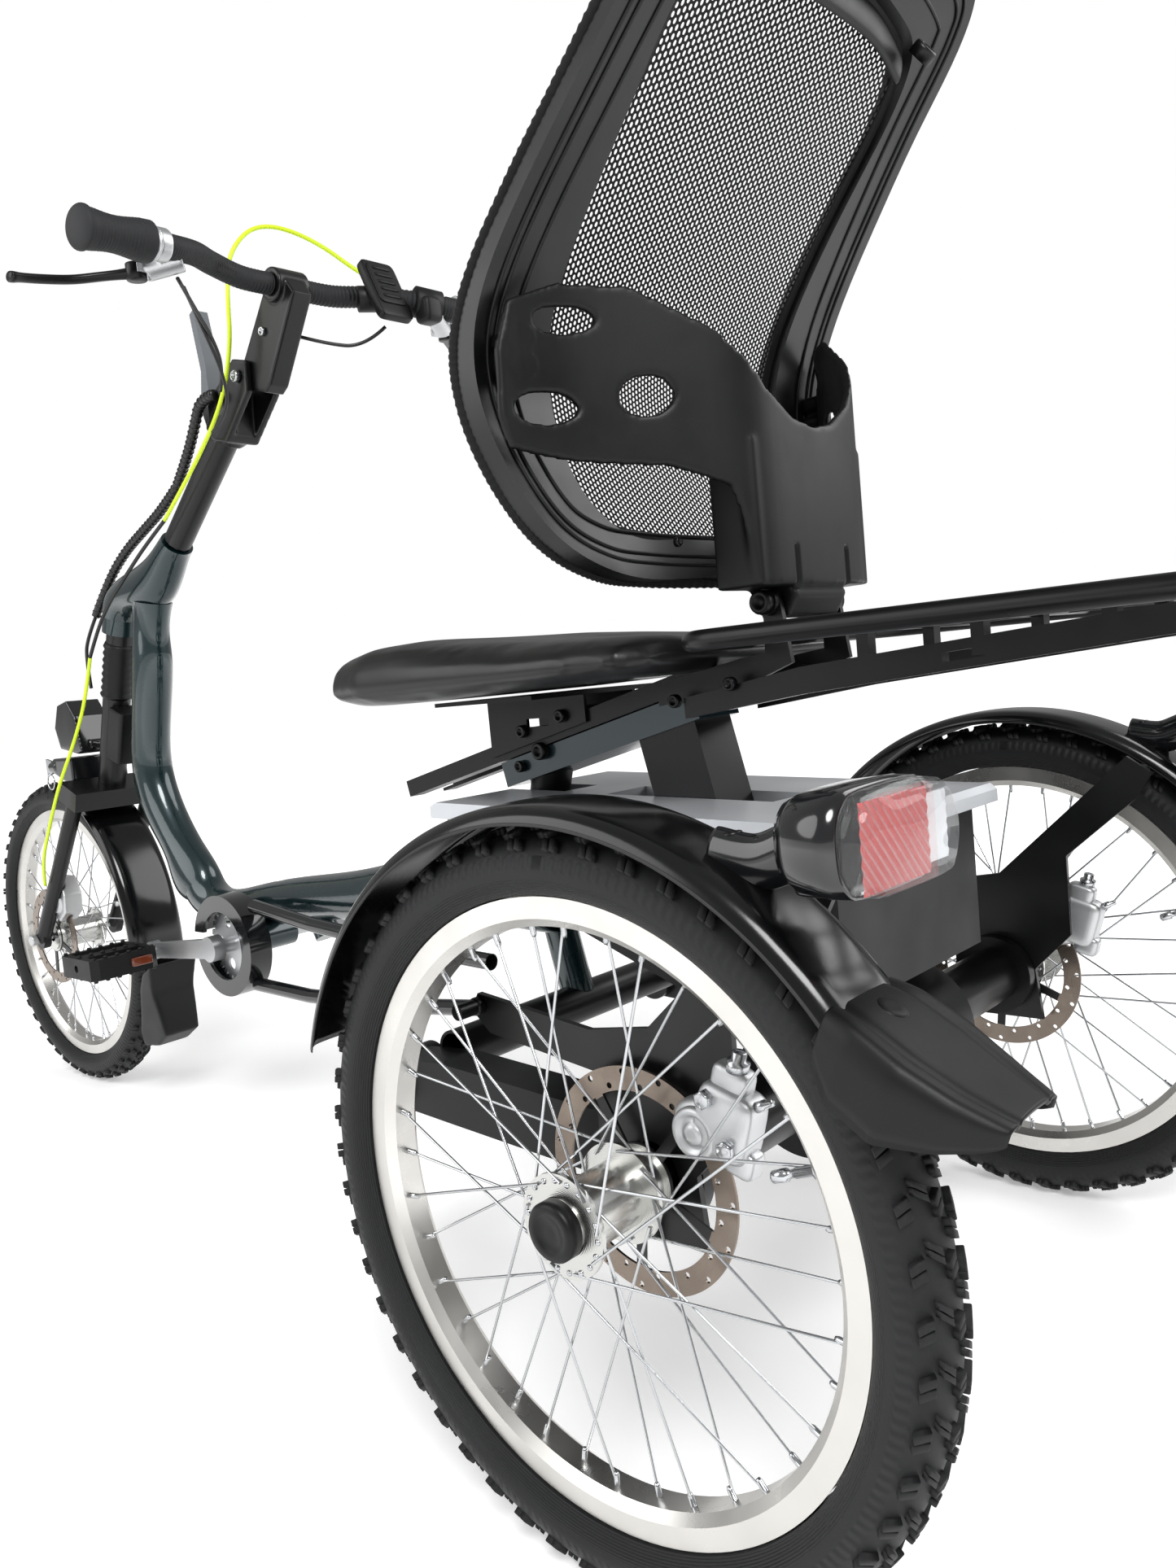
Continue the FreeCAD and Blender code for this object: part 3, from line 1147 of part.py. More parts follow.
HOSE_STEM = [(652, -172, 1090), (700, -128, 1128), (736, -66, 1166), (762, -6, 1172),
             (772, 30, 1138), (772, 38, 1096), (776, 38, 1052)]
LEVER_STEM = [(648, 178, 1062), (690, 136, 1062), (728, 92, 1056), (762, 62, 1038)]
HOSE_COLUMN = [(781, 38, 1044), (796, 38, 1006), (826, 38, 970), (870, 38, 936), (922, 38, 902),
               (976, 38, 868)]
BUNDLE_COLUMN = [(866, 34, 1012), (894, 28, 976), (942, 16, 944), (990, 6, 918)]
HOSE_FRAME = [(984, 38, 863), (1036, 42, 838), (1088, 46, 806), (1140, 48, 776), (1188, 48, 742),
              (1222, 48, 706)]
BUNDLE_FRAME = [(998, 4, 914), (1052, 0, 892), (1110, 0, 872), (1172, 0, 850), (1226, 4, 814),
                (1256, 16, 764)]
HOSE_FORK = [(1230, 48, 694), (1248, 52, 640), (1262, 72, 576), (1290, 90, 516), (1340, 92, 450),
             (1390, 90, 388), (1412, 80, 352)]
BUNDLE_FORK = [(1268, 26, 744), (1276, 30, 700), (1268, 32, 656)]


def cables():
    """Hoses and leads in three lengths, one for each of the parts that turn."""
    hose = size("hose_radius")
    bundle = size("bundle_radius")
    runs = (("stem_cables", ((HOSE_STEM, hose), (LEVER_STEM, hose))),
            ("column_cables", ((HOSE_COLUMN, hose), (BUNDLE_COLUMN, bundle))),
            ("frame_cables", ((HOSE_FRAME, hose), (BUNDLE_FRAME, bundle))),
            ("fork_cables", ((HOSE_FORK, hose), (BUNDLE_FORK, 4.0))))
    for label, routes in runs:
        solids = []
        for points, radius in routes:
            wire = path_wire(points, 400)
            solid = tube(points, radius, 400)
            expected = math.pi * radius * radius * wire.Length
            if abs(solid.Volume - expected) > 0.02 * expected:
                raise RuntimeError(label + " has a poor volume")
            solids.append(solid)
            print("%s: %.0f mm long" % (label, wire.Length))
        keep_shape(label, Part.makeCompound(solids))


# ---- the whole --------------------------------------------------------------------------------

def build():
    fill_sheet()
    make_wheels()
    housing = head_housing()
    down_tube(housing)
    bottom = bottom_tube()
    seat_receiver()
    seat_supports(bottom)
    rear_subframe()
    axle_parts()
    battery()
    fenders()
    doc.recompute()
    stay = fender_stays()
    tail_lamps()
    fender_flaps()
    rear_calipers(stay)
    drive_covers()
    steering_column()
    stem()
    handlebar()
    controls()
    stem_lever()
    fork_shape = fork()
    front_details(fork_shape)
    front_fender()
    doc.recompute()
    lock = ring_lock()
    keep_shape("ring_lock", lock.cut(fork_shape))
    keep_shape("front_flap", front_flap())
    lock_key()
    crank_set()
    pedals()
    seat_rail()
    seat_cushion()
    rear_rack()
    back_post(seat_bracket())
    backrest()
    cables()
    doc.recompute()


def check():
    for obj in doc.Objects:
        if "Invalid" in obj.State or "Error" in obj.State:
            raise RuntimeError(obj.Label + " has failed")
    for label, obj in subparts.items():
        if obj.Shape.isNull() or not obj.Shape.isValid() or not obj.Shape.Solids:
            raise RuntimeError(label + " has no valid solid")


def write():
    os.makedirs("parts", exist_ok=True)
    for label, obj in subparts.items():
        obj.Shape.exportStep("parts/" + label + ".step")
    print(len(subparts), "sub-parts")


build()
check()
write()
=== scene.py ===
import math

import bmesh
import bpy
import numpy as np
from mathutils import Matrix, Vector


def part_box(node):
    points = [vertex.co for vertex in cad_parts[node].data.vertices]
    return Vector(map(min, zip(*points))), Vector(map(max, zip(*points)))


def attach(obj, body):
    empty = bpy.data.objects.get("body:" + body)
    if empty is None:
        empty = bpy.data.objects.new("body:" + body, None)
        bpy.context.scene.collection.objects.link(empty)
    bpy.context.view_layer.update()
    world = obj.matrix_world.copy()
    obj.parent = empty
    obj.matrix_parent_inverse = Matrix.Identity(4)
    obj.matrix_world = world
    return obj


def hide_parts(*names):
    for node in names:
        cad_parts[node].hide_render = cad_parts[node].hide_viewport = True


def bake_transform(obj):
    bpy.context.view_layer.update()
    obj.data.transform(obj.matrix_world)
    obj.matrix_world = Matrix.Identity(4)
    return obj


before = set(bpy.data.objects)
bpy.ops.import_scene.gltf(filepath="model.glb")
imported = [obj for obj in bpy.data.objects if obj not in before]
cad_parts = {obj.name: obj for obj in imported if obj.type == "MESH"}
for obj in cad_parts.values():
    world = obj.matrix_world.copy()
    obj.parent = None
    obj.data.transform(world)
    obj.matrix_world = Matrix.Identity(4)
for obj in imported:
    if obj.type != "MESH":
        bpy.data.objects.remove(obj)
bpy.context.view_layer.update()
print("frame loaded,", len(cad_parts), "nodes")

rearAxleX = -0.680
frontAxleX = 0.8085
halfTrack = 0.3516  # middle of the frame to a rear wheel's middle plane
wheelHeight = 0.2555
wheelSpots = {"left": (rearAxleX, halfTrack), "right": (rearAxleX, -halfTrack),
              "front": (frontAxleX, 0.0)}


def hexLinear(code, alpha=1.0):
    # sRGB hex to linear light
    channels = np.array([int(code[i:i + 2], 16) for i in (1, 3, 5)]) / 255.0
    linear = np.where(channels <= 0.04045, channels / 12.92, ((channels + 0.055) / 1.055) ** 2.4)
    return (*linear.tolist(), alpha)


def addNode(tree, kind, inputs=None, **settings):
    # a node with its settings; each input is a value or the socket that feeds it
    node = tree.nodes.new(kind)
    for key, value in settings.items():
        setattr(node, key, value)
    for key, value in (inputs or {}).items():
        if isinstance(value, bpy.types.NodeSocket):
            tree.links.new(value, node.inputs[key])
        else:
            node.inputs[key].default_value = value
    return node


def newMaterial(name, colour, metallic=0.0, roughness=0.5, **sockets):
    # the shader's own sockets hold everything that is the same all over
    material = bpy.data.materials.new(name)
    material.use_nodes = True
    tree = material.node_tree
    shader = tree.nodes["Principled BSDF"]
    shader.inputs["Base Color"].default_value = hexLinear(colour)
    shader.inputs["Metallic"].default_value = metallic
    shader.inputs["Roughness"].default_value = roughness
    for key, value in sockets.items():
        shader.inputs[key.replace("_", " ")].default_value = value
    material.diffuse_color = hexLinear(colour)
    return material, tree, shader


def grainedMaterial(name, colour, second, metallic, roughness, grain, depth, spread=0.08, **sockets):
    # two close tones, a roughness that wanders and a fine bump; grain is the grain's width in mm
    material, tree, shader = newMaterial(name, colour, metallic, roughness, **sockets)
    place = addNode(tree, "ShaderNodeTexCoord")
    fine = addNode(tree, "ShaderNodeTexNoise", {"Vector": place.outputs["Object"],
                                                "Scale": 1000.0 / grain, "Detail": 2.0})
    broad = addNode(tree, "ShaderNodeTexNoise", {"Vector": place.outputs["Object"], "Scale": 14.0,
                                                 "Detail": 4.0})
    tone = addNode(tree, "ShaderNodeMix", {0: broad.outputs["Fac"], 6: hexLinear(colour),
                                           7: hexLinear(second)}, data_type="RGBA")
    tree.links.new(tone.outputs[2], shader.inputs["Base Color"])
    wander = addNode(tree, "ShaderNodeMapRange", {"Value": broad.outputs["Fac"], "From Min": 0.3,
                                                  "From Max": 0.7, "To Min": roughness - spread,
                                                  "To Max": roughness + spread})
    tree.links.new(wander.outputs["Result"], shader.inputs["Roughness"])
    bump = addNode(tree, "ShaderNodeBump", {"Height": fine.outputs["Fac"], "Strength": 0.5,
                                            "Distance": depth / 1000.0})
    tree.links.new(bump.outputs["Normal"], shader.inputs["Normal"])
    return material, tree, shader


# frame: wet-look metallic paint over steel; the flake is drawn at 1.2 mm, coarser than real
petrolPaint = grainedMaterial("petrolPaint", "#0b272b", "#082024", 0.45, 0.28, 1.2, 0.01, 0.04,
                              Coat_Weight=0.9, Coat_Roughness=0.06)[0]
tealPaint = grainedMaterial("tealPaint", "#0b272e", "#092127", 0.4, 0.33, 1.2, 0.01, 0.04,
                            Coat_Weight=0.6, Coat_Roughness=0.1)[0]
# powder coat: baked satin black with a faint orange peel about 1.5 mm wide
powderBlack = grainedMaterial("powderBlack", "#060607", "#0b0c0d", 0.0, 0.34, 1.5, 0.06, 0.06,
                              Specular_IOR_Level=0.4)[0]
# glossy pressed sheet of the fenders
fenderBlack = grainedMaterial("fenderBlack", "#050506", "#090a0b", 0.0, 0.16, 3.0, 0.03, 0.05,
                              Specular_IOR_Level=0.45)[0]
# moulded polyamide with a leather-like grain near 1 mm
mouldedBlack = grainedMaterial("mouldedBlack", "#070708", "#0b0c0d", 0.0, 0.44, 1.0, 0.1, 0.08,
                               Specular_IOR_Level=0.28)[0]
softGrey = grainedMaterial("softGrey", "#565a5e", "#63676b", 0.0, 0.62, 1.2, 0.1)[0]
# anodised aluminium, bead-blasted before dyeing
anodisedBlack = grainedMaterial("anodisedBlack", "#0d0d0f", "#141416", 0.5, 0.34, 0.9, 0.03)[0]
castAlloy = grainedMaterial("castAlloy", "#d0d1d2", "#b9bbbd", 0.95, 0.38, 1.4, 0.12)[0]
# machined aluminium rim wall: nearly white, with a slightly warm tone
machinedRim = grainedMaterial("machinedRim", "#dddbd7", "#c9c7c2", 1.0, 0.3, 1.2, 0.03)[0]
brightSteel = grainedMaterial("brightSteel", "#c7c9cb", "#b3b5b8", 1.0, 0.18, 0.8, 0.01)[0]
silverPaint = grainedMaterial("silverPaint", "#c9ccd0", "#bfc2c6", 0.35, 0.35, 1.2, 0.02, 0.05,
                              Coat_Weight=0.4, Coat_Roughness=0.15)[0]
gripRubber = grainedMaterial("gripRubber", "#17181a", "#1e1f21", 0.0, 0.66, 0.9, 0.15, 0.08,
                             Specular_IOR_Level=0.4)[0]
cableSheath = grainedMaterial("cableSheath", "#070708", "#0c0c0d", 0.0, 0.38, 1.0, 0.03)[0]
neonSheath = grainedMaterial("neonSheath", "#d9f22a", "#c6e51c", 0.0, 0.4, 1.0, 0.02)[0]
glossBlack = grainedMaterial("glossBlack", "#0d0e0f", "#131416", 0.0, 0.14, 2.0, 0.01, 0.04,
                             Coat_Weight=0.5, Coat_Roughness=0.05)[0]
redReflector = grainedMaterial("redReflector", "#8e1414", "#b01d18", 0.0, 0.18, 2.4, 0.25,
                               Coat_Weight=0.8, Coat_Roughness=0.05)[0]
amberReflector = grainedMaterial("amberReflector", "#4d1c06", "#6e2c09", 0.0, 0.2, 2.4, 0.25,
                                 Coat_Weight=0.8, Coat_Roughness=0.05)[0]
clearLens = newMaterial("clearLens", "#eef1f3", 0.0, 0.05, Transmission_Weight=0.9, IOR=1.49,
                        Coat_Weight=0.3, Alpha=0.28)[0]
# padded seat cover: smooth artificial leather with pores about 1.6 mm apart
seatVinyl = grainedMaterial("seatVinyl", "#060607", "#0a0a0b", 0.0, 0.36, 1.6, 0.15, 0.07,
                            Specular_IOR_Level=0.4)[0]
# knitted spacer cloth
knitCloth = grainedMaterial("knitCloth", "#070708", "#0d0d0f", 0.0, 0.8, 1.3, 0.4, 0.05,
                            Specular_IOR_Level=0.3, Sheen_Weight=0.05, Sheen_Roughness=0.5)[0]
print("materials made")


def surface(points, wrapAlong=False, wrapAcross=False):
    # quads between neighbouring rows and columns of a grid of points
    rows, columns = points.shape[:2]
    i = np.arange(rows if wrapAlong else rows - 1)[:, None]
    j = np.arange(columns if wrapAcross else columns - 1)[None, :]
    a, b = i % rows, (i + 1) % rows
    c, d = j % columns, (j + 1) % columns
    quads = np.stack([a * columns + c, b * columns + c, b * columns + d, a * columns + d], -1)
    return points.reshape(-1, 3), quads.reshape(-1, 4)


def join(parts):
    # puts several (points, faces) pairs together
    offset, points, faces = 0, [], []
    for somePoints, someFaces in parts:
        points.append(somePoints)
        faces.append(someFaces + offset)
        offset += len(somePoints)
    return np.concatenate(points), np.concatenate(faces)


def repeat(part, turns, shifts):
    # copies of one part, each turned by its own matrix and then shifted
    points, faces = part
    copies = np.einsum("kij,nj->kni", turns, points) + shifts[:, None, :]
    count = len(turns)
    faces = faces[None] + (np.arange(count) * len(points))[:, None, None]
    return copies.reshape(-1, 3), faces.reshape(-1, faces.shape[-1])


def makePiece(name, part, material, body, replaced=(), smooth=True, uv=None,
              closed=True):
    # a mesh piece on a body; it may stand for CAD nodes, and its finish comes from a slot
    points, faces = part
    mesh = bpy.data.meshes.new(name)
    mesh.from_pydata(points.tolist(), [], faces.tolist())
    if closed:
        shell = bmesh.new()
        shell.from_mesh(mesh)
        bmesh.ops.recalc_face_normals(shell, faces=shell.faces)
        shell.to_mesh(mesh)
        shell.free()
    mesh.polygons.foreach_set("use_smooth", np.full(len(mesh.polygons), smooth))
    if uv is not None:
        layer = mesh.uv_layers.new(name="cut")
        corners = np.empty(len(mesh.loops), np.int32)
        mesh.loops.foreach_get("vertex_index", corners)
        layer.data.foreach_set("uv", uv[corners].astype(np.float32).ravel())
    mesh.update()
    mesh.materials.append(material)
    piece = bpy.data.objects.new(name, mesh)
    bpy.context.scene.collection.objects.link(piece)
    if body:
        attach(piece, body)
    if replaced:
        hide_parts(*replaced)
    return piece


def capped(rings):
    # closes both ends of a pile of rings with fans to their middles
    rows, count = rings.shape[:2]
    points, faces = surface(rings, wrapAcross=True)
    points = np.concatenate([points, rings[:1].mean(1), rings[-1:].mean(1)])
    k = np.arange(0, count, 2)
    fan = np.stack([k, (k + 1) % count, (k + 2) % count, np.full_like(k, rows * count)], -1)
    far = fan + (rows - 1) * count
    far[:, 3] = rows * count + 1
    return points, np.concatenate([faces, fan, far])


def directed(direction):
    # a turn that carries +Z onto a direction
    up = np.array(direction, float) / np.linalg.norm(direction)
    side = np.cross(up, (0.0, 1.0, 0.0) if abs(up[1]) < 0.9 else (1.0, 0.0, 0.0))
    side /= np.linalg.norm(side)
    return np.stack([side, np.cross(up, side), up], -1)


def turned(profile, spot, direction, turns=32, sides=0):
    # a turned part: (height, radius) pairs round a direction; sides flattens it, such as a hexagon
    angle = np.linspace(0, 2 * math.pi, turns, endpoint=False)
    flat = np.ones(turns)
    if sides:
        wedge = 2 * math.pi / sides
        flat = math.cos(wedge / 2) / np.cos((angle % wedge) - wedge / 2)
    height, radius = np.array(profile, float).T
    rings = np.stack([radius[:, None] * flat * np.cos(angle), radius[:, None] * flat
                      * np.sin(angle), np.broadcast_to(height[:, None], (len(height), turns))], -1)
    points, faces = capped(rings)
    return points @ directed(direction).T + np.array(spot), faces


def bent(value, power):
    # keeps the sign and raises the size to a power
    return np.sign(value) * np.abs(value) ** power


def roundedBlock(spot, half, power=0.35, tilt=0.0, rows=18, turns=28):
    # a superellipsoid: sines and cosines raised to a power give flat sides and soft edges
    low = np.linspace(-math.pi / 2 + 0.02, math.pi / 2 - 0.02, rows)[:, None]
    around = np.linspace(0, 2 * math.pi, turns, endpoint=False)[None, :]
    x = half[0] * bent(np.cos(low), power) * bent(np.cos(around), power)
    y = half[1] * bent(np.cos(low), power) * bent(np.sin(around), power)
    z = half[2] * bent(np.sin(low), power) + 0 * around
    points, faces = capped(np.stack([x, y, z], -1))
    c, d = math.cos(tilt), math.sin(tilt)
    points = points @ np.array([[c, 0, -d], [0, 1, 0], [d, 0, c]])
    return points + np.array(spot), faces


def boltHead(spot, direction, radius):
    # cap screw: rounded head with a sunk socket
    height = radius * 0.8
    profile = [(-height * 0.3, radius), (height * 0.7, radius), (height * 0.93, radius * 0.93),
               (height, radius * 0.8), (height, radius * 0.52), (height * 0.45, radius * 0.5)]
    return turned(profile, spot, direction, 24)


def mirrored(part):
    # the same part on the other side of the middle plane
    points, faces = part
    return points * np.array([1, -1, 1]), faces


def sided(part, side):
    # parts are drawn for the left side; the right one is the mirror image
    return part if side == "left" else mirrored(part)


def finishWith(piece, kind, **settings):
    # adds a modifier; a subdivision shows one level everywhere
    modifier = piece.modifiers.new(kind.title(), kind)
    for key, value in settings.items():
        setattr(modifier, key, value)
    if kind == "SUBSURF":
        modifier.levels = modifier.render_levels
    return modifier


# CAD pieces that keep their shape
finishes = {
    petrolPaint: ("head_housing", "down_tube", "bottom_tube"),
    tealPaint: ("seat_receiver",),
    powderBlack: ("fork", "fender_stays", "back_frame"),
    mouldedBlack: ("battery_case", "pedal_left", "pedal_right"),
    anodisedBlack: ("handlebar", "seat_rail", "seat_brackets", "rear_rack", "rear_axle",
                    "rear_subframe", "seat_supports"),
    castAlloy: ("crank_set",),
    machinedRim: ("left_rim", "right_rim", "front_rim"),
    brightSteel: ("left_spokes", "right_spokes", "front_spokes", "lock_key"),
    silverPaint: ("battery_lid",),
    glossBlack: ("chain_guard",),
}
for material, nodes in finishes.items():
    for node in nodes:
        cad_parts[node].material_slots[0].material = material
print("CAD pieces finished")


tyre = {
    "halfWidth": 0.0258, "crown": 0.2512, "halfHeight": 0.0232, "beadAngle": 2.42,
    "knob": 0.0043, "pitches": 50, "rings": 57, "slices": 180,
    # lanes of knobs: place between the beads, half width, then length, shift and skew in pitches
    "lanes": [(-0.055, 0.042, 0.30, 0.00, 0.06), (0.055, 0.042, 0.30, 0.50, -0.06),
              (-0.20, 0.060, 0.27, 0.30, -0.10), (0.20, 0.060, 0.27, 0.80, 0.10),
              (-0.37, 0.062, 0.36, 0.05, 0.05), (0.37, 0.062, 0.36, 0.55, -0.05)],
}


def carcass(s):
    # s runs from bead to bead, -1 to 1: an oval cross-section, returned as (across, radius)
    angle = s * tyre["beadAngle"]
    across = tyre["halfWidth"] * np.sin(angle) * (1 - 0.05 * np.cos(angle) ** 2)
    middle = tyre["crown"] - tyre["halfHeight"]
    return across, middle + tyre["halfHeight"] * np.cos(angle)


def onTyre(turn, s, lift):
    # a point at an angle round the wheel, lifted off the carcass along its own normal
    across, radius = carcass(s)
    ahead = carcass(s + 0.001)
    slope = np.stack([ahead[0] - across, ahead[1] - radius], -1)
    slope = slope / np.linalg.norm(slope, axis=-1, keepdims=True)
    across = across - slope[..., 1] * lift
    radius = radius + slope[..., 0] * lift
    return np.stack(np.broadcast_arrays(radius * np.sin(turn), across, radius * np.cos(turn)), -1)


def knobs():
    # each knob is a four-sided frustum: a wide foot on the carcass and a smaller top
    table = np.array([(*lane, part) for lane in tyre["lanes"] for part in (-1, 1)])
    count = tyre["pitches"]
    pitch = 2 * math.pi / count
    k = np.arange(count)[:, None, None]
    s, half, length, shift, skew, part = (table[None, :, None, i] for i in range(6))
    corner = np.array([[-1, -1], [1, -1], [1, 1], [-1, 1]])
    cu, cs = corner[None, None, :, 0], corner[None, None, :, 1]
    layers = []
    for shrink, lift in ((1.12, -0.0012), (1.0, tyre["knob"] * 0.86), (0.86, tyre["knob"])):
        across = s + cs * half * shrink
        along = (k + shift) + part * length * 0.27 + cu * length * 0.23 * shrink + skew * cs
        layers.append(onTyre(along * pitch, across, lift))
    points = np.stack(layers, 2)
    blocks = points.shape[0] * points.shape[1]
    sides = [[a * 4 + i, a * 4 + (i + 1) % 4, (a + 1) * 4 + (i + 1) % 4, (a + 1) * 4 + i]
             for a in (0, 1) for i in range(4)]
    faces = np.array(sides + [[8, 9, 10, 11]])
    faces = faces[None] + (np.arange(blocks) * 12)[:, None, None]
    return points.reshape(-1, 3), faces.reshape(-1, 4)[:, ::-1]


def tyreShape():
    # the carcass closed by a flat bead under the rim's edge
    s = np.linspace(-1, 1, tyre["rings"])
    turn = np.linspace(0, 2 * math.pi, tyre["slices"], endpoint=False)
    skin = onTyre(turn[:, None], s[None, :], 0.0)
    return surface(skin, wrapAlong=True, wrapAcross=True)


def rubberBands():
    # sidewall of a mountain tyre: fine ribs round the wheel and short bars under the shoulder
    material, tree, shader = newMaterial("treadRubber", "#0b0b0c", 0.0, 0.55,
                                         Specular_IOR_Level=0.35)
    place = addNode(tree, "ShaderNodeUVMap", uv_map="cut")
    parts = addNode(tree, "ShaderNodeSeparateXYZ", {0: place.outputs["UV"]})
    bars = addNode(tree, "ShaderNodeMath", {0: parts.outputs[0], 1: 785.0}, operation="MULTIPLY")
    bars = addNode(tree, "ShaderNodeMath", {0: bars.outputs[0]}, operation="SINE")
    side = addNode(tree, "ShaderNodeMath", {0: parts.outputs[1]}, operation="ABSOLUTE")
    band = addNode(tree, "ShaderNodeMapRange", {"Value": side.outputs[0], "From Min": 0.47,
                                                "From Max": 0.5})
    over = addNode(tree, "ShaderNodeMapRange", {"Value": side.outputs[0], "From Min": 0.62,
                                                "From Max": 0.65, "To Min": 1.0, "To Max": 0.0})
    mask = addNode(tree, "ShaderNodeMath", {0: band.outputs[0], 1: over.outputs[0]},
                   operation="MULTIPLY")
    raised = addNode(tree, "ShaderNodeMath", {0: bars.outputs[0], 1: mask.outputs[0]},
                     operation="MULTIPLY")
    ring = addNode(tree, "ShaderNodeMath", {0: side.outputs[0], 1: 210.0}, operation="MULTIPLY")
    ring = addNode(tree, "ShaderNodeMath", {0: ring.outputs[0]}, operation="SINE")
    ringMask = addNode(tree, "ShaderNodeMapRange", {"Value": side.outputs[0], "From Min": 0.74,
                                                    "From Max": 0.78})
    ring = addNode(tree, "ShaderNodeMath", {0: ring.outputs[0], 1: ringMask.outputs[0]},
                   operation="MULTIPLY")
    grain = addNode(tree, "ShaderNodeTexNoise", {"Scale": 700.0, "Detail": 3.0})
    height = addNode(tree, "ShaderNodeMath", {0: raised.outputs[0], 1: ring.outputs[0]},
                     operation="ADD")
    height = addNode(tree, "ShaderNodeMath", {0: grain.outputs["Fac"], 1: 0.6,
                                              2: height.outputs[0]}, operation="MULTIPLY_ADD")
    bump = addNode(tree, "ShaderNodeBump", {"Height": height.outputs[0], "Strength": 0.7,
                                            "Distance": 0.0004})
    tree.links.new(bump.outputs["Normal"], shader.inputs["Normal"])
    dust = addNode(tree, "ShaderNodeTexNoise", {"Scale": 9.0, "Detail": 5.0})
    tone = addNode(tree, "ShaderNodeMix", {0: dust.outputs["Fac"], 6: hexLinear("#08090a"),
                                           7: hexLinear("#151618")}, data_type="RGBA")
    tree.links.new(tone.outputs[2], shader.inputs["Base Color"])
    return material


treadRubber = rubberBands()
knobPoints, knobFaces = knobs()
skinPoints, skinFaces = tyreShape()
skinTurn = np.repeat(np.linspace(0, 2 * math.pi * wheelHeight, tyre["slices"], endpoint=False),
                     tyre["rings"])
skinAcross = np.tile(np.linspace(-1, 1, tyre["rings"]), tyre["slices"])
for side, (x, y) in wheelSpots.items():
    centre = np.array([x, y, wheelHeight])
    uv = np.concatenate([np.stack([skinTurn, skinAcross], -1), np.zeros((len(knobPoints), 2))])
    part = join([(skinPoints + centre, skinFaces), (knobPoints + centre, knobFaces)])
    makePiece(side + "TreadedTyre", part, treadRubber, side + "_wheel", (side + "_tyre",),
              smooth=True, uv=uv)
print("tyres made")


fender = {
    "wall": 0.0025, "lip": 0.009,
    # the arcs are in degrees from straight up, forward is positive
    "rear": {"arc": (-57.0, 72.0), "inner": 0.268, "half": 0.036},
    "front": {"arc": (-98.0, -27.0), "inner": 0.270, "half": 0.044},
}


def fenderShape(spot, arc, inner, half):
    # the fender's crown is a flat arc that curls down at both edges, carried round the wheel
    across = np.linspace(-1, 1, 33)
    drop = 0.0015 * np.abs(across) ** 2 + fender["lip"] * np.abs(across) ** 9
    width = half * (across - 0.02 * np.sin(math.pi * across))
    turn = np.radians(np.linspace(*arc, 120))[:, None]
    layers = []
    for lift in (fender["wall"], 0.0):
        radius = (inner + lift - drop)[None, :] + 0 * turn
        layers.append(np.stack([radius * np.sin(turn), width[None, :] + 0 * turn,
                                radius * np.cos(turn)], -1))
    loop = np.concatenate([layers[0], layers[1][:, ::-1]], 1)
    points, faces = surface(loop[::-1], wrapAcross=True)
    rows, count = loop.shape[:2]
    k = np.arange(len(across) - 1)
    cap = np.stack([k, k + 1, count - 2 - k, count - 1 - k], -1)
    return points + np.array(spot), np.concatenate([faces, cap[:, ::-1], cap + (rows - 1) * count])


for side in ("left", "right"):
    shape = fenderShape((*wheelSpots[side], wheelHeight), **fender["rear"])
    makePiece(side + "FenderSheet", shape, fenderBlack, "frame", ("rear_fender_" + side,))
shape = fenderShape((*wheelSpots["front"], wheelHeight), **fender["front"])
makePiece("frontFenderSheet", shape, fenderBlack, "fork_assembly", ("front_fender",))
print("fenders made")


def smoothLine(points, count, closed=False):
    # Catmull-Rom curve through the points, sampled evenly in its parameter
    points = np.array(points, float)
    n = len(points)
    spans = n if closed else n - 1
    t = np.linspace(0, spans, count, endpoint=not closed)
    i = np.minimum(t.astype(int), spans - 1)
    f = (t - i)[:, None]
    near = i + np.arange(-1, 3)[:, None]
    a, b, c, d = points[near % n if closed else np.clip(near, 0, n - 1)]
    return 0.5 * (2 * b + (c - a) * f + (2 * a - 5 * b + 4 * c - d) * f ** 2
                  + (3 * b - a - 3 * c + d) * f ** 3)


def tubeAlong(line, width, depth=None, ring=12, closed=False, facing=(1.0, 0.0, 0.0)):
    # an oval ring carried along a line; its second axis stays square to the line and facing
    depth = width if depth is None else depth
    ahead = np.roll(line, -1, 0) - np.roll(line, 1, 0) if closed else np.gradient(line, axis=0)
    ahead /= np.linalg.norm(ahead, axis=1, keepdims=True)
    across = np.cross(ahead, np.array(facing))
    across /= np.linalg.norm(across, axis=1, keepdims=True)
    front = np.cross(across, ahead)
    angle = np.linspace(0, 2 * math.pi, ring, endpoint=False)
    width = np.broadcast_to(width, len(line))[:, None, None]
    depth = np.broadcast_to(depth, len(line))[:, None, None]
    points = (line[:, None] + width * np.cos(angle)[None, :, None] * across[:, None]
              + depth * np.sin(angle)[None, :, None] * front[:, None])
    points, faces = surface(points, wrapAlong=closed, wrapAcross=True)
    if closed:
        return points, faces
    count = len(line)
    tips = np.concatenate([points, line[:1], line[-1:]])
    k = np.arange(0, ring, 2)
    start = np.stack([k, (k + 1) % ring, (k + 2) % ring, np.full_like(k, len(points))], -1)
    end = start[:, ::-1] + (count - 1) * ring
    end[:, 0] = len(points) + 1
    return tips, np.concatenate([faces, start, end])


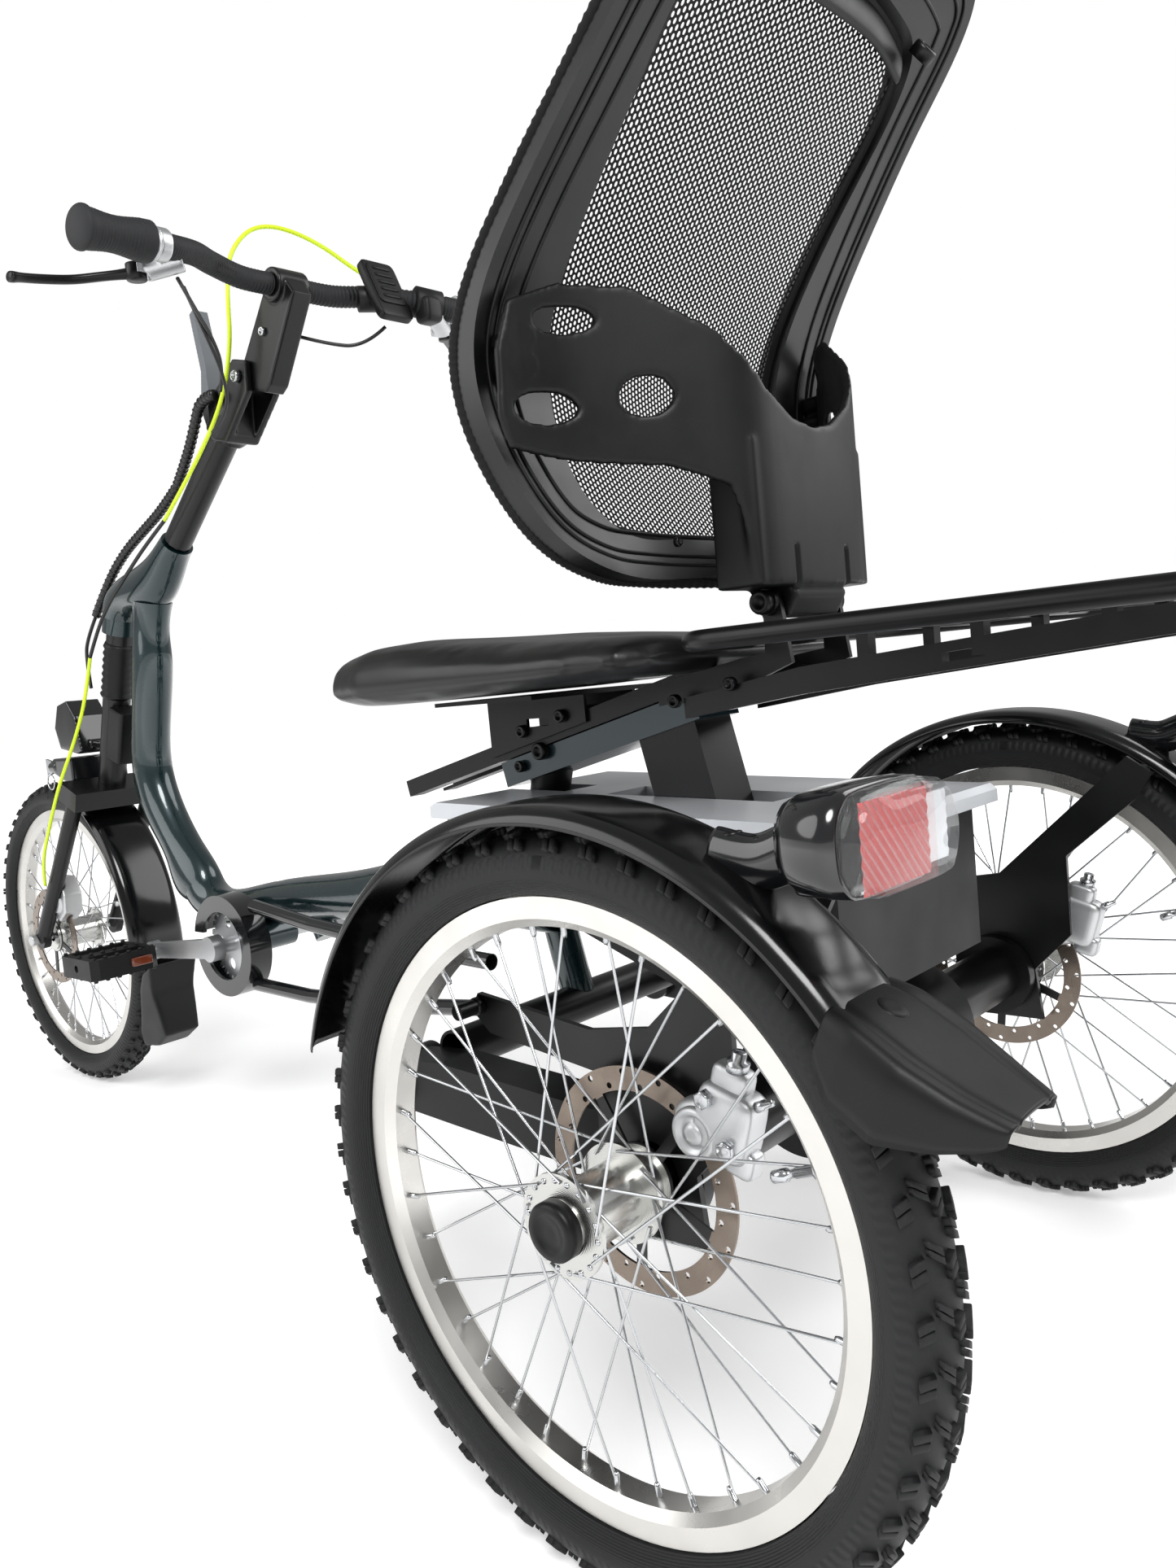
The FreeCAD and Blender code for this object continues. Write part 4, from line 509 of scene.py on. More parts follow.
back = {
    "curve": [(-0.588, 0.664), (-0.568, 0.700), (-0.542, 0.760), (-0.527, 0.815), (-0.528, 0.865),
              (-0.549, 0.915), (-0.584, 0.965), (-0.628, 1.018), (-0.668, 1.064),
              (-0.706, 1.106), (-0.742, 1.148), (-0.772, 1.192)],
    "outer": [(0.0, 0.672), (0.110, 0.673), (0.168, 0.680), (0.212, 0.706), (0.236, 0.758),
              (0.246, 0.830), (0.243, 0.890), (0.230, 0.960), (0.218, 1.020), (0.207, 1.080),
              (0.199, 1.130), (0.184, 1.158), (0.150, 1.172), (0.080, 1.180)],
    "inner": [(0.0, 0.706), (0.090, 0.708), (0.134, 0.716), (0.158, 0.742), (0.166, 0.800),
              (0.164, 0.880), (0.160, 0.960), (0.158, 1.030), (0.154, 1.082), (0.140, 1.108),
              (0.100, 1.122), (0.050, 1.128)],
    "holePitch": 0.0046, "holeShare": (0.60, 0.72),
    "meshFoot": 0.700, "meshRows": 96, "meshHalfColumns": 37,
}
backSide = smoothLine(back["curve"], 400)


def backDepth(z):
    # how far forward the back's middle surface stands at a height
    return np.interp(z, backSide[:, 1], backSide[:, 0])


def backLoop(name, shrink=0.0, count=260):
    # an outline of the back, both halves, moved inward by a distance
    half = back[name]
    loop = smoothLine(half + [(-y, z) for y, z in half[:0:-1]], count, closed=True)
    ahead = np.roll(loop, -1, 0) - np.roll(loop, 1, 0)
    ahead /= np.linalg.norm(ahead, axis=1, keepdims=True)
    return loop + shrink * np.stack([-ahead[:, 1], ahead[:, 0]], -1)


def onBack(flat, forward):
    # a point (across, height) put on the back's curved surface
    return np.stack([backDepth(flat[..., 1]) + forward, flat[..., 0], flat[..., 1]], -1)


def knitMesh():
    # offset columns of oval openings; each cell is a ring of eight quads round its opening
    pitch = back["holePitch"]
    column = np.arange(-back["meshHalfColumns"], back["meshHalfColumns"] + 1)
    row = np.arange(back["meshRows"])
    centreY = np.broadcast_to(column[:, None] * pitch, (len(column), len(row)))
    centreZ = back["meshFoot"] + (row[None, :] + 0.5 * (column[:, None] % 2)) * pitch
    centres = np.stack([centreY, centreZ], -1).reshape(-1, 2)
    loop = backLoop("inner", -0.003, 360)
    edge = np.roll(loop, -1, 0) - loop
    away = centres[:, None] - loop[None]
    crossing = (((loop[:, 1] > centres[:, None, 1]) != (np.roll(loop, -1, 0)[:, 1]
                                                        > centres[:, None, 1]))
                & (away[..., 0] < edge[:, 0] * away[..., 1]
                   / np.where(edge[:, 1] == 0, 1e-9, edge[:, 1])))
    centres = centres[crossing.sum(1) % 2 == 1]
    square = np.array([(-1, -1), (0, -1), (1, -1), (1, 0), (1, 1), (0, 1), (-1, 1), (-1, 0)])
    angle = np.radians([225, 270, 315, 0, 45, 90, 135, 180])
    opening = np.stack([np.cos(angle), np.sin(angle)], -1) * back["holeShare"]
    ring = np.concatenate([square, opening]) * pitch / 2
    flat = centres[:, None] + ring[None]
    k = np.arange(8)
    faces = np.stack([k, (k + 1) % 8, (k + 1) % 8 + 8, k + 8], -1)
    faces = faces[None] + (np.arange(len(centres)) * 16)[:, None, None]
    return onBack(flat, 0.0).reshape(-1, 3), faces.reshape(-1, 4)[:, ::-1]


def bandBetween(outerLoop, innerLoop, forward, rise=0.0):
    # a flat band between two outlines, crowned by rise in its middle
    steps = np.linspace(0, 1, 7)[:, None, None]
    flat = outerLoop[None] * (1 - steps) + innerLoop[None] * steps
    points = onBack(flat, forward)
    points[..., 0] += np.sign(forward) * rise * np.sin(math.pi * steps[..., 0])
    return surface(points, wrapAcross=True)


def boundRope():
    # binding: a plump knitted edge round the whole back, ribbed every 4 mm
    line = onBack(backLoop("outer", 0.004, 900), 0.009)
    swell = 1 + 0.07 * np.sin(np.arange(900) * 2.05)
    return tubeAlong(line, 0.0075 * swell, 0.0045 * swell, 14, True)


knitPart = knitMesh()
knit = makePiece("knittedMesh", knitPart, knitCloth, "backrest", ("back_mesh",),
                 smooth=False, closed=False)
hem = makePiece("meshHem", bandBetween(backLoop("inner", -0.004), backLoop("inner", 0.009),
                                       -0.0025, 0.001), knitCloth, "backrest", (),
                closed=False)
finishWith(hem, "SOLIDIFY", thickness=0.0014, offset=0.0)
makePiece("backBinding", boundRope(), knitCloth, "backrest", ())
ridges = [tubeAlong(onBack(backLoop("outer", inset, 300), -0.0145), 0.0016, 0.0014, 8, True)
          for inset in (0.014, 0.022, 0.040)]
makePiece("frameRidges", join(ridges), mouldedBlack, "backrest", ())
topBand = smoothLine([(-0.128, 1.100), (-0.06, 1.112), (0.06, 1.112), (0.128, 1.100)], 60)
topPad = tubeAlong(onBack(topBand, -0.012), 0.016, 0.005, 16)
makePiece("topCrossPad", topPad, mouldedBlack, "backrest", ())
print("backrest made,", len(knitPart[1]), "faces in the mesh")


seat = {
    "top": [(-0.612, 0.628), (-0.560, 0.632), (-0.46, 0.637), (-0.38, 0.645), (-0.31, 0.6505),
            (-0.248, 0.649), (-0.20, 0.643), (-0.168, 0.634)],
    "bottom": [(-0.612, 0.602), (-0.600, 0.598), (-0.46, 0.5955), (-0.325, 0.592), (-0.20, 0.592),
               (-0.168, 0.594)],
    "half": [(-0.612, 0.150), (-0.590, 0.178), (-0.52, 0.188), (-0.26, 0.188), (-0.205, 0.174),
             (-0.178, 0.140), (-0.168, 0.095)],
    "seamHeight": 0.607,
    "swell": 0.003,
}


def seatShell(upper):
    # rows from rear to nose; each row runs from one edge over the crown to the other edge
    x = np.linspace(-0.610, -0.1685, 90)
    names = np.array(seat["top" if upper else "bottom"])
    limit = np.interp(x, names[:, 0], names[:, 1])
    half = np.interp(x, *np.array(seat["half"]).T)
    nose = np.clip((x + 0.205) / 0.0365, 0, 1)
    heel = np.clip((-0.590 - x) / 0.0205, 0, 1)
    blunt = (1 - np.maximum(nose, heel) ** 2.4) ** (1 / 2.2)
    seam = np.full_like(x, seat["seamHeight"])
    v = np.linspace(-1, 1, 81)
    side = np.sign(v) * (1 - (1 - np.abs(v)) ** 1.7)
    arch = (1 - np.abs(side) ** 7) ** (1 / 2.4)
    hollow = 0.006 * np.exp(-(v / 0.45) ** 2) if upper else 0.0 * v
    y = half[:, None] * side[None]
    z = seam[:, None] + ((limit - seam) * blunt)[:, None] * arch[None] - hollow[None] * (
        np.clip((-0.25 - x) / 0.2, 0, 1)[:, None])
    return np.stack([np.broadcast_to(x[:, None], y.shape), y, z], -1)


def closedSeat(inset):
    # upper and lower shells share the seam's edge, so the two grids make one closed skin
    top, low = seatShell(True), seatShell(False)
    loop = np.concatenate([top, low[:, ::-1][:, 1:-1]], 1)
    centre = loop.mean((0, 1))
    loop = centre + (loop - centre) * (1 - inset / np.array([0.22, 0.19, 0.05]))
    points, faces = surface(loop, wrapAcross=True)
    count = loop.shape[1]
    caps = []
    for row in (0, loop.shape[0] - 1):
        ends = np.arange(count // 2 - 1)
        quad = row * count + np.stack([ends, ends + 1, (count - ends - 1) % count,
                                       (count - ends) % count], -1)
        caps.append(quad[:, ::-1] if row == 0 else quad)
    return points, np.concatenate([faces] + caps)


def puff(piece, pressure, limit):
    # cloth simulation on a remeshed copy: swells the cover, each point moving at most limit
    remesh = finishWith(piece, "REMESH", mode="VOXEL", voxel_size=0.0055)
    remesh.use_smooth_shade = True
    graph = bpy.context.evaluated_depsgraph_get()
    baked = bpy.data.meshes.new_from_object(piece.evaluated_get(graph))
    piece.modifiers.clear()
    piece.data = baked
    before = np.empty(len(baked.vertices) * 3, np.float32)
    baked.vertices.foreach_get("co", before)
    cloth = finishWith(piece, "CLOTH")
    cloth.settings.use_pressure = True
    cloth.settings.uniform_pressure_force = pressure
    cloth.settings.effector_weights.gravity = 0.0
    cloth.settings.mass = 0.4
    cloth.settings.tension_stiffness = 25
    cloth.settings.compression_stiffness = 25
    cloth.settings.bending_stiffness = 4
    cloth.point_cache.frame_end = 20
    for step in range(1, 21):
        bpy.context.scene.frame_set(step)
    graph = bpy.context.evaluated_depsgraph_get()
    after = np.empty_like(before)
    piece.evaluated_get(graph).data.vertices.foreach_get("co", after)
    piece.modifiers.clear()
    move = (after - before).reshape(-1, 3)
    far = np.linalg.norm(move, axis=1, keepdims=True)
    move *= np.minimum(1, limit / np.maximum(far, 1e-9))
    baked.vertices.foreach_set("co", (before.reshape(-1, 3) + move).ravel())
    baked.update()
    bpy.context.scene.frame_set(1)


cushion = makePiece("seatCushion", closedSeat(0.003), seatVinyl, None)
puff(cushion, 4.0, seat["swell"])
finishWith(cushion, "SUBSURF", render_levels=1)
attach(cushion, "seat")
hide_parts("seat_cushion")
print("seat made")


cables = {
    "hose": 0.0026, "lead": 0.0022, "bundle": 0.0062,
    "wrapWire": 0.0013, "wrapPitch": 0.009, "facing": (0.31, 0.87, 0.38),
    "barHose": [(-0.028, -0.172, 1.090), (0.020, -0.128, 1.128), (0.056, -0.070, 1.182),
                (0.082, -0.010, 1.197), (0.092, 0.030, 1.156), (0.092, 0.038, 1.100),
                (0.096, 0.038, 1.052), (0.116, 0.038, 1.006), (0.146, 0.038, 0.970),
                (0.190, 0.038, 0.936), (0.242, 0.038, 0.902), (0.302, 0.038, 0.865)],
    "headHose": [(0.302, 0.038, 0.865), (0.356, 0.042, 0.838), (0.408, 0.046, 0.806),
                 (0.460, 0.048, 0.776), (0.508, 0.048, 0.742), (0.546, 0.048, 0.700)],
    "forkHose": [(0.546, 0.048, 0.700), (0.568, 0.052, 0.640), (0.582, 0.072, 0.576),
                 (0.610, 0.090, 0.516), (0.660, 0.092, 0.450), (0.710, 0.090, 0.388),
                 (0.732, 0.080, 0.352)],
    "leverLead": [(-0.032, 0.178, 1.062), (0.010, 0.136, 1.050), (0.048, 0.092, 1.030),
                  (0.082, 0.062, 1.010), (0.112, 0.050, 0.992)],
    "spareLead": [(0.004, 0.150, 1.068), (0.040, 0.110, 1.040), (0.070, 0.070, 1.000),
                  (0.104, 0.046, 0.966), (0.150, 0.044, 0.950)],
    "displayLead": [(-0.012, -0.118, 1.062), (0.012, -0.100, 1.040), (0.040, -0.060, 1.046),
                    (0.066, -0.026, 1.060)],
    "columnBundle": [(0.150, 0.036, 0.998), (0.186, 0.034, 1.000), (0.214, 0.028, 0.976),
                     (0.262, 0.016, 0.944), (0.316, 0.005, 0.915)],
    "headBundle": [(0.316, 0.005, 0.915), (0.372, 0.0, 0.892), (0.430, 0.0, 0.872),
                   (0.492, 0.0, 0.850), (0.546, 0.004, 0.814), (0.576, 0.016, 0.764)],
    "forkBundle": [(0.576, 0.016, 0.764), (0.594, 0.026, 0.730), (0.596, 0.030, 0.700),
                   (0.588, 0.032, 0.656)],
}


def hoseMesh(route, radius):
    # a NURBS line with the route as its control points, made a mesh tube
    curve = bpy.data.curves.new("hose", "CURVE")
    curve.dimensions = "3D"
    spline = curve.splines.new("NURBS")
    spline.points.add(len(route) - 1)
    spline.points.foreach_set("co", np.array([(*p, 1.0) for p in route]).ravel())
    spline.order_u = 3
    spline.use_endpoint_u = True
    curve.resolution_u = 10
    holder = bpy.data.objects.new("hose", curve)
    bpy.context.scene.collection.objects.link(holder)
    line = bpy.data.meshes.new_from_object(
        holder.evaluated_get(bpy.context.evaluated_depsgraph_get()))
    points = np.empty(len(line.vertices) * 3)
    line.vertices.foreach_get("co", points)
    bpy.data.objects.remove(holder)
    points = points.reshape(-1, 3)
    return points, tubeAlong(points, radius, radius, 12, False, cables["facing"])


def spiralWrap(points, radius):
    # a thin strand wound round the bundle as a helix of one turn every 9 mm
    step = np.linalg.norm(np.diff(points, axis=0), axis=1)
    far = np.concatenate([[0], np.cumsum(step)])
    count = int(far[-1] / 0.0009)  # ten points a turn
    along = np.linspace(0, far[-1], count)
    line = np.stack([np.interp(along, far, points[:, i]) for i in range(3)], -1)
    ahead = np.gradient(line, axis=0)
    ahead /= np.linalg.norm(ahead, axis=1, keepdims=True)
    first = np.cross(ahead, cables["facing"])
    first /= np.linalg.norm(first, axis=1, keepdims=True)
    second = np.cross(ahead, first)
    turn = (along / cables["wrapPitch"] * 2 * math.pi)[:, None]
    line = line + radius * (np.cos(turn) * first + np.sin(turn) * second)
    return tubeAlong(line, cables["wrapWire"], None, 6, False, (0.1, 0.2, 0.97))


hoseRuns = [
    ("barHose", "hose", neonSheath, ("bars", "column"), (0.096, 0.038, 1.050),
     (0.125, 0.038, 0.995), ("stem_cables", "column_cables")),
    ("headHose", "hose", cableSheath, ("column", "frame"), (0.305, 0.038, 0.863),
     (0.380, 0.044, 0.820), ("frame_cables",)),
    ("forkHose", "hose", neonSheath, ("frame", "fork_assembly"), (0.548, 0.048, 0.698),
     (0.575, 0.060, 0.600), ("fork_cables",)),
    ("leverLead", "lead", cableSheath, ("bars", "column"), (0.048, 0.092, 1.030),
     (0.110, 0.050, 0.992), ()),
    ("spareLead", "lead", cableSheath, ("bars", "column"), (0.040, 0.110, 1.040),
     (0.104, 0.046, 0.966), ()),
    ("displayLead", "lead", cableSheath, "bars", None, None, ()),
    ("columnBundle", "bundle", cableSheath, "column", None, None, ()),
    ("headBundle", "bundle", cableSheath, ("column", "frame"), (0.318, 0.005, 0.914),
     (0.400, 0.0, 0.880), ()),
    ("forkBundle", "hose", cableSheath, ("frame", "fork_assembly"), (0.578, 0.016, 0.760),
     (0.594, 0.030, 0.700), ()),
]
for name, size, material, bodies, start, end, replaced in hoseRuns:
    points, part = hoseMesh(cables[name], cables[size])
    if size == "bundle":
        part = join([part, spiralWrap(points, cables[size])])
    crossing = not isinstance(bodies, str)
    piece = makePiece(name, part, material, None if crossing else bodies, ())
    if crossing:
        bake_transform(piece)
    if replaced:
        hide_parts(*replaced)
print("hoses made")


def moulded(name, node, voxel, rounds, material, body, slotName, shape=None):
    # a cast or moulded form of a plain CAD piece: a skin of small cells laid over it, then
    # averaged a few rounds, which rounds every edge; shape may move the skin's points
    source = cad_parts[node]
    mesh = source.data.copy()
    mesh.transform(source.matrix_world)
    piece = bpy.data.objects.new(name, mesh)
    bpy.context.scene.collection.objects.link(piece)
    finishWith(piece, "REMESH", mode="VOXEL", voxel_size=voxel)
    finishWith(piece, "SMOOTH", iterations=rounds, factor=0.5)
    baked = bpy.data.meshes.new_from_object(piece.evaluated_get(
        bpy.context.evaluated_depsgraph_get()))
    piece.modifiers.clear()
    piece.data = baked
    baked.name = name
    baked.materials.clear()
    baked.materials.append(material)
    baked.shade_smooth()
    if shape:
        points = np.empty(len(baked.vertices) * 3, np.float32)
        baked.vertices.foreach_get("co", points)
        baked.vertices.foreach_set("co", shape(points.reshape(-1, 3)).ravel())
        baked.update()
    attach(piece, body)
    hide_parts(node)
    return piece


def bracketDetail(points):
    # two slots pressed 4 mm into the foot; the pegs' heads are flattened into the wings
    x, y, z = points.T
    slot = np.exp(-((np.abs(y) - 0.039) / 0.0021) ** 4) * (z > 0.656) * (z < 0.690)
    outside = x < -0.674
    wing = np.interp(np.abs(y), (0.146, 0.184, 0.222, 0.243), (-0.614, -0.584, -0.566, -0.560))
    pegs = (np.abs(y) > 0.208) & (z > 0.826) & (z < 0.872)
    x = np.where(pegs, np.maximum(x, wing), x + 0.004 * slot * outside)
    return np.stack([x, y, z], -1)


def slimFlap(points):
    # narrows the flap towards its tip; the side that meets the fender stays where it is
    top, foot = points.max(0), points.min(0)
    low = (top[2] - points[:, 2]) / (top[2] - foot[2])
    x = top[0] - (top[0] - points[:, 0]) * (1 - 0.22 * low)
    return np.stack([x, points[:, 1] * (0.9 - 0.32 * low), points[:, 2]], -1)


mouldings = [
    ("backBracket", "back_bracket", 0.0022, 7, mouldedBlack, "backrest", "black_plastic",
     bracketDetail),
    ("stemBody", "stem", 0.0013, 10, powderBlack, "bars", "black_alloy", None),
    ("headLamp", "head_lamp", 0.0014, 10, glossBlack, "fork_assembly", "gloss_black", None),
    ("connectorBox", "connector_box", 0.0014, 10, mouldedBlack, "fork_assembly",
     "black_plastic", None),
    ("frontFlap", "front_flap", 0.0022, 40, mouldedBlack, "fork_assembly", "black_plastic",
     slimFlap),
    ("ringLock", "ring_lock", 0.0014, 8, glossBlack, "fork_assembly", "gloss_black", None),
    ("frontCaliper", "front_caliper", 0.0013, 7, castAlloy, "fork_assembly", "alloy", None),
    ("brakeMounts", "brake_mounts", 0.0012, 5, castAlloy, "bars", "alloy", None),
    ("columnTube", "steering_column", 0.0017, 10, powderBlack, "column", "black_paint", None),
    ("stemLever", "stem_lever", 0.0009, 6, softGrey, "clamp_lever", "black_plastic", None),
]
for moulding in mouldings:
    moulded(*moulding)
print("moulded pieces made")


lamp = {
    "centre": (0.351, 0.506),
    "outline": [(-0.053, -0.008), (-0.046, -0.022), (-0.034, -0.0275), (0.030, -0.0275),
                (0.046, -0.022), (0.053, -0.010), (0.053, 0.010), (0.044, 0.023),
                (0.028, 0.0275), (-0.030, 0.0275), (-0.046, 0.020), (-0.053, 0.006)],
    "housing": [(-0.866, 0.62), (-0.870, 0.78), (-0.880, 0.93), (-0.899, 1.0), (-0.911, 0.99),
                (-0.911, 0.93), (-0.904, 0.92)],
    "lens": [(-0.909, 0.92), (-0.914, 0.955), (-0.9225, 0.94), (-0.9265, 0.86), (-0.928, 0.82)],
    "arm": [(-0.804, 0.352, 0.4935), (-0.832, 0.352, 0.4895), (-0.856, 0.352, 0.497),
            (-0.882, 0.352, 0.505)],
    "screws": [(-0.816, 0.352, 0.5015), (-0.836, 0.352, 0.4995)],
}


def lampRings(table):
    # the lamp's outline, scaled at several depths
    ring = smoothLine(lamp["outline"], 48, closed=True)
    rings = [np.stack([np.full(48, x), lamp["centre"][0] + ring[:, 0] * k,
                       lamp["centre"][1] + ring[:, 1] * k], -1) for x, k in table]
    return capped(np.array(rings))


def reflectorPlate(y0, y1, z0, z1, x):
    # prism facets: a grid of shallow pyramids 4 mm wide
    ny, nz = 21, 13
    grid = np.stack(np.meshgrid(np.linspace(y0, y1, ny), np.linspace(z0, z1, nz),
                                indexing="ij"), -1)
    bump = 0.0007 * ((np.arange(ny)[:, None] + np.arange(nz)[None]) % 2)
    front = np.concatenate([(x - bump)[..., None], grid], -1)
    return surface(front)


for side in ("left", "right"):
    parts = [lampRings(lamp["housing"]),
             tubeAlong(smoothLine(lamp["arm"], 24), 0.016, 0.0105, 24, False, (0, 1, 0)),
             roundedBlock((-0.884, 0.351, 0.4825), (0.016, 0.030, 0.006), 0.4)]
    makePiece(side + "LampHousing", sided(join(parts), side), glossBlack, "frame",
              ("tail_lamps",) if side == "left" else ())
    makePiece(side + "LampLens", sided(lampRings(lamp["lens"]), side), clearLens, "frame", ())
    red = reflectorPlate(0.329, 0.3985, 0.4835, 0.5285, -0.9215)
    makePiece(side + "LampReflector", sided(red, side), redReflector, "frame", (),
              smooth=False, closed=False)
    bright = reflectorPlate(0.306, 0.3285, 0.488, 0.524, -0.9205)
    makePiece(side + "LampMirror", sided(bright, side), brightSteel, "frame", (),
              smooth=False, closed=False)
    screws = join([boltHead(spot, (0.1, 0, 1), 0.0062) for spot in lamp["screws"]])
    makePiece(side + "LampScrews", sided(screws, side), anodisedBlack, "frame", ())
print("lamps made")


flap = {
    "spine": [(-0.889, 0.4245), (-0.905, 0.4180), (-0.930, 0.4030), (-0.955, 0.3880),
              (-0.978, 0.3760)],
    "half": [0.037, 0.042, 0.044, 0.038, 0.028],
    "skirt": [0.020, 0.038, 0.038, 0.024, 0.006],
}


def flapShape():
    # a crowned sheet along the spine whose edges fold down into skirts that shrink to the tip
    rows = 40
    spine = smoothLine(flap["spine"], rows)
    t = np.linspace(0, 4, rows)
    half = np.interp(t, range(5), flap["half"])[:, None]
    skirt = np.interp(t, range(5), flap["skirt"])[:, None]
    u = np.linspace(-1, 1, 41)[None]
    fold = np.clip((np.abs(u) - 0.72) / 0.28, 0, 1)
    groove = 0.0016 * np.exp(-((np.abs(u) - 0.5) / 0.05) ** 2)
    y = half * np.sign(u) * np.minimum(np.abs(u) / 0.80, 1 + 0.02 * fold)
    z = spine[:, 1:] - 0.004 * u ** 2 - skirt * fold ** 1.3 - groove
    x = spine[:, :1] + 0.45 * skirt * fold ** 1.3
    return surface(np.stack([x, halfTrack + y, z], -1))


for side in ("left", "right"):
    piece = makePiece(side + "Flap", sided(flapShape(), side), mouldedBlack, "frame",
                      ("fender_flaps",) if side == "left" else ())
    finishWith(piece, "SOLIDIFY", thickness=0.0028, offset=-1.0 if side == "left" else 1.0)
    button = turned([(-0.002, 0.009), (0.0012, 0.009), (0.0022, 0.0075), (0.0022, 0.004)],
                    (-0.906, halfTrack, 0.4155), (-0.45, 0, 0.9), 28)
    makePiece(side + "FlapButton", sided(button, side), mouldedBlack, "frame", ())
print("flaps made")


hub = {
    "rotorAt": {"left": -0.050, "right": 0.050, "front": 0.043},
    "rotorHalf": 0.0035, "barrel": 0.026, "armReach": 0.0615,
}


def hubMetal(name, spot, rotorAt):
    # one turned hub: polished barrel and flanges, and a heat-tinted steel rotor on dark arms;
    # each is told by how far it lies along the axle and from it
    material, tree, shader = newMaterial(name, "#c9c9c6", 1.0, 0.22)
    place = addNode(tree, "ShaderNodeTexCoord")
    local = addNode(tree, "ShaderNodeMapping", {0: place.outputs["Object"],
                                                1: tuple(-v for v in spot)})
    parts = addNode(tree, "ShaderNodeSeparateXYZ", {0: local.outputs[0]})
    flat = addNode(tree, "ShaderNodeCombineXYZ", {0: parts.outputs[0], 1: parts.outputs[2]})
    radius = addNode(tree, "ShaderNodeVectorMath", {0: flat.outputs[0]}, operation="LENGTH")
    offset = addNode(tree, "ShaderNodeMath", {0: parts.outputs[1], 1: rotorAt},
                     operation="SUBTRACT")
    offset = addNode(tree, "ShaderNodeMath", {0: offset.outputs[0]}, operation="ABSOLUTE")
    rotor = addNode(tree, "ShaderNodeMath", {0: offset.outputs[0], 1: hub["rotorHalf"]},
                    operation="LESS_THAN")
    wide = addNode(tree, "ShaderNodeMath", {0: radius.outputs["Value"], 1: hub["barrel"]},
                   operation="GREATER_THAN")
    rotor = addNode(tree, "ShaderNodeMath", {0: rotor.outputs[0], 1: wide.outputs[0]},
                    operation="MULTIPLY")
    arms = addNode(tree, "ShaderNodeMath", {0: radius.outputs["Value"], 1: hub["armReach"]},
                   operation="LESS_THAN")
    arms = addNode(tree, "ShaderNodeMath", {0: arms.outputs[0], 1: rotor.outputs[0]},
                   operation="MULTIPLY")
    stain = addNode(tree, "ShaderNodeTexNoise", {"Vector": local.outputs[0], "Scale": 60.0,
                                                 "Detail": 6.0})
    band = addNode(tree, "ShaderNodeMix", {0: stain.outputs["Fac"], 6: hexLinear("#6e625a"),
                                           7: hexLinear("#93887d")}, data_type="RGBA")
    first = addNode(tree, "ShaderNodeMix", {0: rotor.outputs[0], 6: hexLinear("#c9c9c6"),
                                            7: band.outputs[2]}, data_type="RGBA")
    second = addNode(tree, "ShaderNodeMix", {0: arms.outputs[0], 6: first.outputs[2],
                                             7: hexLinear("#0a0a0b")}, data_type="RGBA")
    tree.links.new(second.outputs[2], shader.inputs["Base Color"])
    shine = addNode(tree, "ShaderNodeMapRange", {"Value": arms.outputs[0], "To Min": 1.0,
                                                 "To Max": 0.1})
    tree.links.new(shine.outputs[0], shader.inputs["Metallic"])
    blur = addNode(tree, "ShaderNodeMapRange", {"Value": arms.outputs[0], "To Min": 0.24,
                                                "To Max": 0.42})
    tree.links.new(blur.outputs[0], shader.inputs["Roughness"])
    rings = addNode(tree, "ShaderNodeMath", {0: radius.outputs["Value"], 1: 5200.0},
                    operation="MULTIPLY")
    rings = addNode(tree, "ShaderNodeMath", {0: rings.outputs[0]}, operation="SINE")
    bump = addNode(tree, "ShaderNodeBump", {"Height": rings.outputs[0], "Strength": 0.25,
                                            "Distance": 0.0001})
    tree.links.new(bump.outputs["Normal"], shader.inputs["Normal"])
    return material


for side, (x, y) in wheelSpots.items():
    metal = hubMetal(side + "HubMetal", (x, y, wheelHeight), hub["rotorAt"][side])
    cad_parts[side + "_hub"].material_slots[0].material = metal

wheelTrim = {"count": 36, "rimWall": 0.1925, "headRing": 0.030, "headAcross": 0.0297}


def nipples(spot):
    # short tapered nuts at the foot of each spoke
    turn = np.arange(wheelTrim["count"]) * 2 * math.pi / wheelTrim["count"]
    nut = turned([(-0.006, 0.0013), (-0.004, 0.0021), (0.004, 0.0021), (0.005, 0.0030),
                  (0.0062, 0.0030)], (0, 0, wheelTrim["rimWall"] - 0.006), (0, 0, 1), 8)
    c, d = np.cos(turn), np.sin(turn)
    zero, one = np.zeros_like(c), np.ones_like(c)
    turns = np.stack([np.stack([c, zero, d], -1), np.stack([zero, one, zero], -1),
                      np.stack([-d, zero, c], -1)], 1)
    lean = np.where(np.arange(wheelTrim["count"]) % 2 == 0, 0.002, -0.002)
    shifts = np.stack([zero, lean, zero], -1) + np.array(spot)
    return repeat(nut, turns, shifts)


def spokeHeads(spot):
    # domed spoke heads on the outer faces of both flanges
    count = wheelTrim["count"] // 2
    turn = np.arange(count) * 2 * math.pi / count + 0.09
    head = turned([(-0.0006, 0.0021), (0.0003, 0.0021), (0.0012, 0.0012)], (0, 0, 0), (0, 1, 0), 8)
    still = np.broadcast_to(np.eye(3), (count, 3, 3))
    ring = np.stack([wheelTrim["headRing"] * np.cos(turn), np.full(count, wheelTrim["headAcross"]),
                     wheelTrim["headRing"] * np.sin(turn)], -1)
    sides = [repeat(head, still * [1, side, 1], ring * [1, side, 1] + np.array(spot))
             for side in (1, -1)]
    return join(sides)


